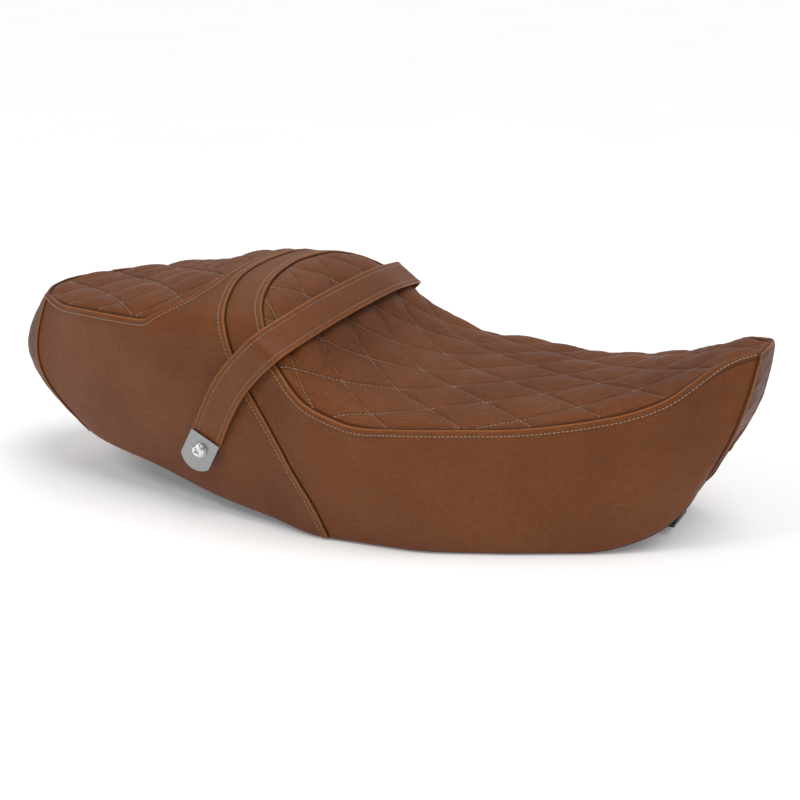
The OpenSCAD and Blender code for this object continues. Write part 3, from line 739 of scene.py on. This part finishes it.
# Rows of stitches are looked for over this many diamonds, in steps, and this far across the seat
LATTICE_REACH, LATTICE_STEP, LATTICE_ACROSS = 14, 0.02, 175
ROW_POINTS = 5  # a shorter row of stitches is left out
# Length round the cushion per unit of girth
RIDER_GIRTH, PASSENGER_GIRTH = 130, 110


def across_table(x):
    """Girths from 0 to ARC_GIRTH and the length across the seat up to each, at each station."""
    g = np.linspace(0, ARC_GIRTH, ARC_STEPS + 1)
    p = cover(x[:, None], g[None, :])
    d = np.linalg.norm(np.diff(p[..., 1:], axis=1), axis=-1)
    return g, np.concatenate([np.zeros((len(x), 1)), np.cumsum(d, 1)], 1)


class Quilt:
    """Diamond lattice of a cushion: rows of stitches at whole numbers of p and of q."""

    def __init__(self, node_x, half_along, half_across):
        self.start = np.interp(node_x, ARC_X, ARC_LENGTH)
        self.half = (half_along, half_across)
        self.spacing = half_along * half_across * 2 / math.hypot(half_along, half_across)

    def coords(self, x, g):
        shape = np.shape(x)
        x, g = np.ravel(x), np.ravel(g)
        along = (np.interp(x, ARC_X, ARC_LENGTH) - self.start) / self.half[0]
        girths, lengths = across_table(x)
        u = np.abs(g) / girths[1]
        i = np.clip(u.astype(int), 0, ARC_STEPS - 1)
        rows = np.arange(len(x))
        b = lengths[rows, i] + (u - i) * (lengths[rows, i + 1] - lengths[rows, i])
        across = np.sign(g) * b / self.half[1]
        return ((along + across) / 2).reshape(shape), ((along - across) / 2).reshape(shape)

    def at(self, p, q):
        """Station and girth of lattice points."""
        x = np.interp((p + q) * self.half[0] + self.start, ARC_LENGTH, ARC_X)
        b = (p - q) * self.half[1]
        girths, lengths = across_table(x)
        g = np.array([np.interp(abs(v), row, girths) for v, row in zip(b, lengths)])
        return x, np.sign(b) * g

    def depth(self, x, g):
        """Distance to the nearest row of stitches, and how full the diamond is there, from 0 to 1."""
        p, q = self.coords(x, g)
        near = np.minimum(np.abs(p - np.round(p)), np.abs(q - np.round(q))) * self.spacing
        fullness = (np.abs(np.sin(np.pi * p)) * np.abs(np.sin(np.pi * q))) ** 0.5
        return near, fullness

    def rows(self, inside, margin):
        """Stitch rows: for each, stations and girths inside the cushion."""
        found = []
        values = np.arange(-LATTICE_REACH, LATTICE_REACH + 0.001, LATTICE_STEP)
        for family in (0, 1):
            for whole in range(-LATTICE_REACH, LATTICE_REACH + 1):
                p = np.full(len(values), float(whole))
                pq = (p, values) if family == 0 else (values, p)
                along = (pq[0] + pq[1]) * self.half[0] + self.start
                across = np.abs(pq[0] - pq[1]) * self.half[1]
                ok = (along > 0) & (along < ARC_LENGTH[-1]) & (across < LATTICE_ACROSS)
                if ok.sum() <= ROW_POINTS:
                    continue
                x, g = self.at(pq[0][ok], pq[1][ok])
                keep = inside(x, g, margin)
                edges = np.flatnonzero(np.diff(np.concatenate([[0], keep.astype(int), [0]])))
                for a, b in zip(edges[::2], edges[1::2]):
                    if b - a > ROW_POINTS:
                        found.append((x[a:b], g[a:b]))
        return found


rider_quilt = Quilt(20.3, 39.4, 27.0)
passenger_quilt = Quilt(-236.0, 30.0, 29.0)


def in_rider(x, g, margin):
    side = side_at(x)
    rear = rider_at(np.minimum(np.abs(g) / side, 1)) + margin
    return (np.abs(g) < side - margin / RIDER_GIRTH) & (x > rear) & (x < END_X[NOSE] - margin)


def in_passenger(x, g, margin):
    side = side_at(x)
    front = passenger_at(np.minimum(np.abs(g) / side, 1)) - margin
    return (np.abs(g) < side - margin / PASSENGER_GIRTH) & (x < front) & (x > END_X[TAIL] + margin)


CHANNEL = -2.4
RIM_HEIGHT, RIM_WIDTH = -0.6, 14
# Half widths of the sewn channel and of the edge that turns down into the seam, and how deep each is pressed
GROOVE, GROOVE_DEPTH = 1.3, 0.6
LIP, LIP_DEPTH = 1.5, 2.0
START_FULLNESS = 0.85  # of the quilting, before it is blown up
PINNED_NEAR, PINNED_BORDER = 2.3, 3  # the cloth is held this close to stitches and to seams
CLOTH = {
    "quality": 6, "mass": 0.25, "tension_stiffness": 12, "compression_stiffness": 12, "shear_stiffness": 4,
    "bending_stiffness": 3, "use_pressure": True, "uniform_pressure_force": 100.0, "shrink_min": -0.009,
    "vertex_group_mass": "sewn", "pin_stiffness": 1.0,
}
CLOTH_FRAMES = 20
CLOTH_LIMIT = 6.0
# The blown-up shape is used from these distances to the stitches and to the seams, over these widths
BLEND_NEAR, BLEND_BORDER = (1.0, 6), (2, 8)
QUILT_STITCH = (3.5, 2.7, 0.48)  # pitch, length, radius


def inflate(name, start, pins):
    """Cloth simulation of a quilted skin: a grid of points in mm, held where it is sewn and blown up between.
    Returns the moved grid. A point moves no further than CLOTH_LIMIT."""
    ni, nj = start.shape[:2]
    quads, _ = grid_faces(np.ones((ni - 1, nj - 1), bool))
    obj = make(name, start.reshape(-1, 3), quads)
    group = obj.vertex_groups.new(name="sewn")
    group.add([int(i) for i in np.flatnonzero(pins.ravel())], 1.0, "REPLACE")
    cloth = obj.modifiers.new("cloth", "CLOTH")
    for setting, value in CLOTH.items():
        setattr(cloth.settings, setting, value)
    cloth.settings.effector_weights.gravity = 0
    cloth.collision_settings.use_self_collision = False
    cloth.point_cache.frame_start, cloth.point_cache.frame_end = 1, CLOTH_FRAMES
    scene = bpy.context.scene
    for step in range(1, CLOTH_FRAMES + 1):
        scene.frame_set(step)
    moved = np.empty(ni * nj * 3)
    evaluated = obj.evaluated_get(bpy.context.evaluated_depsgraph_get())
    evaluated.data.vertices.foreach_get("co", moved)
    bpy.data.objects.remove(obj)
    scene.frame_set(1)
    shift = moved.reshape(ni, nj, 3) / MM - start
    length = np.linalg.norm(shift, axis=-1, keepdims=True)
    return start + shift * np.minimum(1, CLOTH_LIMIT / np.maximum(length, 1e-9))


def sample_grid(values, ri, kj):
    """Values of a coarse grid at fractional rows and columns."""
    ni, nj = values.shape[:2]
    i = np.clip(ri.astype(int), 0, ni - 2)
    j = np.clip(kj.astype(int), 0, nj - 2)
    fi, fj = (ri - i)[:, None, None], (kj - j)[None, :, None]
    i, j = i[:, None], j[None, :]
    return ((values[i, j] * (1 - fi) + values[i + 1, j] * fi) * (1 - fj)
            + (values[i, j + 1] * (1 - fi) + values[i + 1, j + 1] * fi) * fj)


def quilted(r, k, quilt, puff, seams):
    """A cushion's grid at rows r and columns k before it is blown up: its base, outward directions,
    displacement, and distances to the seams and to the nearest stitches."""
    x, g = place(r[:, None], k[None, :])
    base, out = skin(x, g), normal(x, g)
    border = seam_distance(base, seams)
    near, full = quilt.depth(x, g)
    height = RIM_HEIGHT + (CHANNEL + puff * full - RIM_HEIGHT) * smooth(border / RIM_WIDTH)
    return base, out, out * height[..., None], border, near


def cushion(name, k0, quilt, puff, seams, rows, columns, coarse):
    """Quilted cushion over one column of the cover: blown up by simulation, then its channels pressed in."""
    r, k = np.linspace(-1, 1, rows + 1), np.linspace(k0, k0 + 1, columns + 1)
    base, out, displaced, border, near = quilted(r, k, quilt, puff, seams)
    cr, ck = np.linspace(-1, 1, coarse[0] + 1), np.linspace(k0, k0 + 1, coarse[1] + 1)
    cbase, _, cshift, cborder, cnear = quilted(cr, ck, quilt, START_FULLNESS * puff, seams)
    pins = (cnear < PINNED_NEAR) | (cborder < PINNED_BORDER)
    moved = inflate(name + "_cloth", cbase + cshift, pins)
    shift = sample_grid(moved - cbase, np.linspace(0, coarse[0], rows + 1),
                        np.linspace(0, coarse[1], columns + 1))
    share = (smooth((near - BLEND_NEAR[0]) / BLEND_NEAR[1])
             * smooth((border - BLEND_BORDER[0]) / BLEND_BORDER[1]))[..., None]
    displaced = shift * share + displaced * (1 - share)
    pressed = -GROOVE_DEPTH * bell(near, GROOVE) * smooth(border / 6) + -LIP_DEPTH * bell(border, LIP)
    outer = base + displaced + out * pressed[..., None]
    inner = base - out * PAD_DEPTH
    # painted shade along the quilting channels and along the seams round the cushion
    painted_shade = np.clip(0.4 * bell(near, 1.4) * smooth(border / RIM_WIDTH) + 0.45 * bell(border, 1.2), 0, 1)
    kept = np.ones((rows, columns), bool)
    obj = closed_shell(name, outer, inner, kept, quilt_leather, painted_shade)
    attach(obj, "seat")
    return obj


near_rider = [rider_seam, end_seams[NOSE]]
near_passenger = [passenger_seam, end_seams[TAIL]]
rider = cushion("rider_cushion", 3, rider_quilt, 4.6, near_rider, 230, 310, (72, 104))
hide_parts("rider_panel", "rider_pad")
passenger = cushion("passenger_cushion", 0, passenger_quilt, 5.2, near_passenger, 170, 140, (54, 44))
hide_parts("passenger_panel", "passenger_pad")


def quilt_stitches(name, cushion_piece, quilt, inside, seed):
    rows = []
    trees = surface_of(cushion_piece)
    for index, (x, g) in enumerate(quilt.rows(inside, 2.0)):
        points = resample(skin(x, g), 1.2)
        out = resample_like(skin(x, g), normal(x, g), len(points))
        line = smoothed(on_surface(points, out, trees, 0.12), 2)
        rows.append(stitch_row(line, out, *QUILT_STITCH, seed + index))
    obj = stitches(name, rows, sewing)
    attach(obj, "seat")


quilt_stitches("rider_quilt_stitches", rider, rider_quilt, in_rider, 100)
quilt_stitches("passenger_quilt_stitches", passenger, passenger_quilt, in_passenger, 300)

# -------------------- plain panels

ALL_SEAMS = [rider_seam, passenger_seam, cross_seam, *end_seams]
EDGE_ROUND = 5.0
TUCK_T = 1.2
# Path of the leather beyond its foot: inward, down
SKIRT_TUCK = [(1.2, 0), (2.5, 0), (3.8, 0), (5, 0)]
END_TUCK = ([(3, 0), (6, 0), (9, 0), (12, 0)], [(-0.5, 2.5), (0.5, 5.5), (4, 8.5), (12, 10)])
END_ROUND = (5.0, 2.0)
SEAM_SHADE, SEAM_SHADE_WIDTH = 0.6, 1.2  # painted shade in a seam: how dark the leather is there, and how wide


def foot_rounding(to_foot, radius):
    """How far the leather draws in as it rounds the foot."""
    turn = np.maximum(0, radius - to_foot)
    return -(radius - np.sqrt(np.maximum(radius**2 - turn**2, 0)))


def seam_shade(border):
    return np.clip(SEAM_SHADE * bell(border, SEAM_SHADE_WIDTH), 0, 1)


def unevenness(points, scale, amount):
    """Gentle hand-fitted waviness of stretched leather."""
    flat = points.reshape(-1, 3)
    return np.array([noise.noise(Vector(p) * scale) for p in flat]).reshape(points.shape[:-1]) * amount


def tucked(outer, inner, out, painted_shade, kept, path, ends_tucked):
    """Rows added at the foot (last row, then first), where the leather turns under the pan's rim."""
    grids = [outer, inner, painted_shade, kept]
    for row in ends_tucked:
        inward = -unit(out[row] * [1, 1, 0])
        below = np.stack([grids[0][row] + inward * step - [0, 0, drop] for step, drop in path])
        added = [below, below + [0, 0, TUCK_T], *(np.repeat(a[row][None], len(path), 0) for a in grids[2:])]
        if row == 0:
            grids = [np.concatenate([new[::-1], old]) for new, old in zip(added, grids)]
        else:
            grids = [np.concatenate([old, new]) for new, old in zip(added, grids)]
    return grids


def skirt(name, kept_cell, splits, side_rows=60, top_rows=110):
    """Plain leather panel over the grid cells that are kept."""
    r = np.concatenate([np.linspace(-2, -1, side_rows + 1)[:-1], np.linspace(-1, 1, top_rows + 1),
                        np.linspace(1, 2, side_rows + 1)[1:]])
    k = np.concatenate([np.linspace(i, i + 1, n + 1)[:-1] for i, n in splits] + [[splits[-1][0] + 1.0]])
    x, g = place(r[:, None], k[None, :])
    base, out = skin(x, g), normal(x, g)
    middle_r, middle_k = (r[1:] + r[:-1]) / 2, (k[1:] + k[:-1]) / 2
    kept = kept_cell(np.abs(middle_r)[:, None], middle_k[None, :])
    border = seam_distance(base, ALL_SEAMS)
    side = np.where(g < 0, -1.0, 1.0)
    to_foot = np.abs(2 - np.abs(r))[:, None] * np.linalg.norm(cover(x, side * 2) - cover(x, side), axis=-1)
    rounding = foot_rounding(to_foot, EDGE_ROUND)
    wave = unevenness(base, 0.012, 0.9) + unevenness(base, 0.035, 0.35)
    wave = wave * smooth(border / 25) * smooth(to_foot / 20)
    lip = -2.0 * bell(border, 1.6)
    outer = base + out * (wave + lip + rounding)[..., None]
    inner = base - out * (LEATHER_T + 0.3 - 0.35 * np.minimum(rounding, 0))[..., None]
    inner[..., 2] += np.maximum(0, TUCK_T + 0.8 - to_foot)
    outer, inner, painted_shade, kept = tucked(outer, inner, out, seam_shade(border), kept, SKIRT_TUCK, (-1, 0))
    obj = closed_shell(name, outer, inner, kept, plain_leather, painted_shade)
    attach(obj, "seat")
    return obj


front = skirt("front_skirt_leather", lambda r, k: (r > 1) | (k < 3), [(2, 16), (3, 170)])
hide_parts("front_skirt")
rear = skirt("rear_skirt_leather", lambda r, k: (r > 1) | (k > 1), [(0, 90), (1, 30)])
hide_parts("rear_skirt")


def end_panel(name, e, rows, columns, node, pucker):
    """Leather panel that closes the tail or the nose."""
    s = np.linspace(0, 1, rows + 1)
    t = np.linspace(-1, 1, columns + 1)
    base = cap(e, s[:, None], t[None, :])
    out = unit(np.cross(np.gradient(base, axis=0), np.gradient(base, axis=1)))
    facing = np.sign(out[rows // 2, columns // 2, 0]) * (-1 if e == TAIL else 1)
    out = out * facing
    border = seam_distance(base, [end_seams[e]])
    to_foot = (1 - s)[:, None] * np.linalg.norm(base[-1] - base[0], axis=-1)[None, :]
    rounding = foot_rounding(to_foot, END_ROUND[e])
    wave = unevenness(base, 0.02, pucker[0]) + unevenness(base * [1, 1, 2.2], 0.06, pucker[1])
    wave = wave * smooth(border / 10) * smooth(to_foot / 8)
    lip = -1.6 * bell(border, LIP)
    outer = base + out * (wave + lip + rounding)[..., None]
    inner = base - out * (LEATHER_T + 0.3)
    inner[..., 2] += np.maximum(0, TUCK_T + 0.8 - to_foot)
    kept = np.ones((rows, columns), bool)
    outer, inner, painted_shade, kept = tucked(outer, inner, out, seam_shade(border), kept, END_TUCK[e], (-1,))
    if facing < 0:
        outer, inner, painted_shade = (a[::-1] for a in (outer, inner, painted_shade))
    obj = closed_shell(name, outer, inner, kept, end_leather, painted_shade)
    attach(obj, "seat")
    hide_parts(node)
    return obj


end_panel("tail_leather", TAIL, 60, 90, "tail_panel", (1.2, 0.5))
end_panel("nose_leather", NOSE, 56, 40, "nose_panel", (1.8, 1.3))

# -------------------- folded seams and their stitches

# Section of a lapped fold: distance from the seam, height
FOLD_SECTION = [
    (-0.5, -2.2), (-0.55, -0.9), (-0.45, 0.0), (-0.1, 0.75), (0.5, 1.2), (1.2, 1.3), (2.0, 1.12), (3.2, 0.85),
    (4.4, 0.65), (5.2, 0.35), (5.7, -0.25), (6.2, -1.1), (6.2, -2.4), (3.0, -2.6),
]
PLAIN_FOLD = [
    (-0.5, -2.2), (-0.55, -0.7), (-0.3, 0.3), (0.3, 0.95), (1.1, 1.15), (2.0, 0.85), (3.0, 0.3), (3.8, -0.5),
    (4.2, -1.6), (1.6, -2.4),
]
RIPPLE, RIPPLE_SMOOTHING = 0.28, 14
WORN_AT, WORN_WIDTH, WORN_SHARE = 0.45, 0.7, 0.85  # where on the fold the leather is rubbed pale
UNDER_SHADE = 0.5
# Pitch, length and radius of the stitches beside a fold and of those in its joint, and where each row runs
TOP_STITCH, TOP_AT, TOP_LIFT = (3.6, 2.7, 0.48), 5.3, 0.15
JOINT_STITCH, JOINT_AT = (3.0, 1.9, 0.4), -0.9


def fold(name, seam, section, seed):
    """Bead of folded leather along a seam."""
    t, b, n = seam_frame(seam)
    b, n = smoothed(b), smoothed(n)
    p = seam[0]
    ripple = np.random.default_rng(seed).normal(0, 1, len(p))
    ripple = smoothed(ripple, RIPPLE_SMOOTHING)[:, None, None] * RIPPLE
    d, h = np.array(section).T[..., None]
    rings = p[:, None] + b[:, None] * d + n[:, None] * (h + ripple * np.clip(h, 0, 1))
    worn = WORN_SHARE * np.where(h > 0, bell(d - WORN_AT, WORN_WIDTH), 0)
    # painted shade on the fold's underside, down in the seam
    painted_shading = np.where(h < 0, UNDER_SHADE, 0)
    obj = sweep(name, rings, plain_leather, worn.T, painted_shading.T)
    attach(obj, "seat")
    return obj


def topstitch(name, seam, trees, distance, height, seed, material, sizes):
    """Row of stitches along a seam, at a distance from it on its folded side."""
    t, b, n = seam_frame(seam)
    b, n = smoothed(b), smoothed(n)
    line = on_surface(seam[0] + b * distance, n, trees, height, 5.0)
    obj = stitches(name, [stitch_row(line, n, *sizes, seed)], material)
    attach(obj, "seat")


lapped = (("rider", rider_seam), ("passenger", passenger_seam), ("cross", cross_seam))
for seed, (label, seam) in enumerate(lapped):
    bead = fold(label + "_seam_fold", seam, FOLD_SECTION, 20 + seed)
    trees = surface_of(bead, front, rear)
    topstitch(label + "_seam_stitches", seam, trees, TOP_AT, TOP_LIFT, 40 + seed, sewing, TOP_STITCH)
    topstitch(label + "_seam_joint", seam, [], JOINT_AT, 0, 60 + seed, dark_thread, JOINT_STITCH)
for label, seam in (("tail", end_seams[TAIL]), ("nose", end_seams[NOSE])):
    fold(label + "_seam_fold", seam, PLAIN_FOLD, 30)
    topstitch(label + "_seam_joint", seam, [], JOINT_AT, 0, 70, dark_thread, JOINT_STITCH)

# -------------------- strap

PIVOT = np.array([-108.0, 0.0, 65.0])
STRAP_PATH = [
    (10, 125.6), (14, 125.7), (34, 130.6), (68, 136.4), (100, 141.4), (119, 146), (127, 143.5),
    (132, 132), (135, 118), (140, 95), (145, 68), (147.8, 40), (148.6, 0),
]
STRAP_LEAN = curve([(0, 62), (40, 61), (68, 59.5), (98, 56), (124, 53), (150, 51.5)])
STRAP_T, STRAP_STEP = 2.6, 2.0
# Half of the strap's section: distance from its middle, height above and below its mid plane
STRAP_SECTION = [
    (0, 1.0), (6, 1.02), (9.2, 1.0), (10.2, 0.72), (11.2, 1.02), (12.6, 1.3), (13.8, 1.32), (14.6, 1.0), (15, 0.3),
]
STITCHED = STRAP_SECTION[3]
STRAP_STITCH = (3.4, 2.6, 0.4)
STRAP_WAVE, STRAP_WAVE_SMOOTHING, STRAP_FLAT = 0.25, 30, 11
UNDERSIDE = 0.98  # height of the section's underside, as a share of its top


def strap_line():
    """Smooth curve through the strap's path and its mirror image."""
    pts = np.array(STRAP_PATH, float)
    padded = np.concatenate([pts[:1], pts, [pts[-2] * [1, -1]]])
    t = (np.arange(8) / 8)[:, None]
    half = [b + t / 2 * (c - a) + t**2 * (a - 2.5 * b + 2 * c - d / 2) + t**3 * (-a / 2 + 1.5 * b - 1.5 * c + d / 2)
            for a, b, c, d in zip(padded, padded[1:], padded[2:], padded[3:])]
    half = np.concatenate(half + [pts[-1:]])
    return np.concatenate([half * [1, -1], half[-2::-1]])


def strap_points(line, across, lift):
    """Points of the strap: across from its middle, lift above its underside."""
    run = np.gradient(line, axis=0)
    out = unit(np.stack([run[:, 1], -run[:, 0]], -1))
    q = line + out * np.asarray(lift, float).reshape(-1, 1)
    a = np.radians(STRAP_LEAN(np.minimum(q[:, 0], 150)))
    return np.stack([PIVOT[0] + q[:, 0] * np.cos(a) - across * np.sin(a), q[:, 1],
                     PIVOT[2] + q[:, 0] * np.sin(a) + across * np.cos(a)], -1)


def build_strap():
    line = resample(strap_line(), STRAP_STEP)
    top, back = STRAP_SECTION, STRAP_SECTION[::-1]
    section = [(-d, h) for d, h in back] + top[1:] + [(d, -h) for d, h in back] + [(-d, -h) for d, h in top[1:]]
    mid = STRAP_T / 2
    wave = smoothed(np.random.default_rng(9).normal(0, 1, len(line)), STRAP_WAVE_SMOOTHING) * STRAP_WAVE
    rings = np.stack([strap_points(line, d, mid + h * (1 if h > 0 else UNDERSIDE) + wave * (abs(d) < STRAP_FLAT))
                      for d, h in section], 1)
    d, h = np.abs(np.array(section)[:, 0]), np.array(section)[:, 1]
    worn = np.where(h > 0, smooth((d - 13.2) / 1.4) * 0.6, 0.25 * (d > 13))
    # painted shade in the groove along the stitched line
    painted_shading = np.where((h > 0) & (d > 9.8) & (d < 10.8), 0.35, 0)
    obj = sweep("grab_strap_leather", rings, strap_leather, worn, painted_shading)
    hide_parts("strap")
    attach(obj, "grab_strap")
    rows = []
    for index, side in enumerate((-STITCHED[0], STITCHED[0])):
        path = strap_points(line, side, mid + STITCHED[1])
        above = strap_points(line, side, mid + STITCHED[1] + 1)
        rows.append(stitch_row(path, unit(above - path), *STRAP_STITCH, 80 + index))
    thread_obj = stitches("grab_strap_stitches", rows, sewing)
    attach(thread_obj, "grab_strap")


build_strap()

# -------------------- hem under the skirt

FLANK_CELLS, END_CELLS = 22, 4
# Section of the hem: in from the skirt's foot, up
HEM_SECTION = [
    (1.6, 2.4), (2.6, 1.0), (4.2, 0.35), (6.5, 0.2), (8.4, 0.35), (9.3, 1.4), (9.6, 4.0), (9.7, 8.0), (9.6, 11.0),
    (8.6, 11.2), (8.3, 8.0), (8.2, 4.0), (8.0, 1.9), (6.5, 1.2), (4.4, 1.4), (3.0, 2.4),
]
HEM_GAP = 0.8  # points of the outline closer than this are left out
# HEM_SHADE: painted shade over the whole hem, which lies under the skirt's rim
HEM_PUCKER, HEM_SHADE = 0.9, 0.3


def foot_outline(inset):
    """The skirt's foot all round, moved in."""
    xs = np.linspace(*END_X, 6 * FLANK_CELLS + 1)
    left = cover(xs, 2.0) - np.array([0, inset, 0])

    def end(e):
        way = 1 if e == NOSE else -1
        t = way * (1 - np.arange(1, 12 * END_CELLS) / (6 * END_CELLS))
        one = np.ones(len(t))
        return cap(e, one, t) + np.stack([-way * inset * one, -inset * t, 0 * one], -1)
    nose, tail = end(NOSE), end(TAIL)
    left[:, 0] = np.minimum(left[:, 0], nose[0, 0])
    return np.concatenate([left, nose, left[::-1] * [1, -1, 1], tail])


def build_hem():
    rings = np.stack([foot_outline(inset) + [0, 0, rise] for inset, rise in HEM_SECTION], 1)
    rings = rings[apart(rings[:, 4], HEM_GAP)]
    pucker = smoothed(np.random.default_rng(5).normal(0, 1, len(rings)), 2)
    inset, rise = np.array(HEM_SECTION).T
    share = np.where(rise > 6, np.where(inset > 9, 1.0, 0.4), 0)
    rings[..., 2] += pucker[:, None] * share * HEM_PUCKER
    obj = sweep("hem_leather", rings, end_leather, 0, HEM_SHADE, closed_path=True)
    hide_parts("cover_hem")
    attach(obj, "seat")


build_hem()

# -------------------- CAD nodes that stay: materials and softened edges

WELD, BEVEL_ANGLE = 0.00002, math.radians(40)
# Node: material, bevel in mm
NODE_MATERIAL = {
    "seat_pan": (pan_plastic, 0.6), "foam_core": (foam, 0), "hem_staples": (bright_steel, 0),
    "front_hook": (black_steel, 0.5), "front_hook_rivets": (bright_steel, 0.4),
    "latch_striker": (bright_steel, 0), "striker_plate": (black_steel, 0.5), "striker_nuts": (bright_steel, 0.3),
    "front_dampers": (rubber, 0.8), "middle_dampers": (rubber, 0.8), "rear_dampers": (rubber, 0.8),
}
PAIRED = {
    "strap_plate": (plate_steel, 0.45), "strap_bush": (bright_steel, 0), "strap_washer": (bright_steel, 0.2),
    "strap_screw": (bright_steel, 0.3), "strap_insert": (brass, 0),
}
for node, finish in PAIRED.items():
    NODE_MATERIAL[node + "_right"] = NODE_MATERIAL[node + "_left"] = finish
for node, (material, softness) in NODE_MATERIAL.items():
    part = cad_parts[node]
    part.data.materials.clear()
    part.data.materials.append(material)
    if softness:
        part.modifiers.new("weld", "WELD").merge_threshold = WELD
        bevel = part.modifiers.new("bevel", "BEVEL")
        bevel.width = softness * MM
        bevel.segments = 2
        bevel.limit_method = "ANGLE"
        bevel.angle_limit = BEVEL_ANGLE
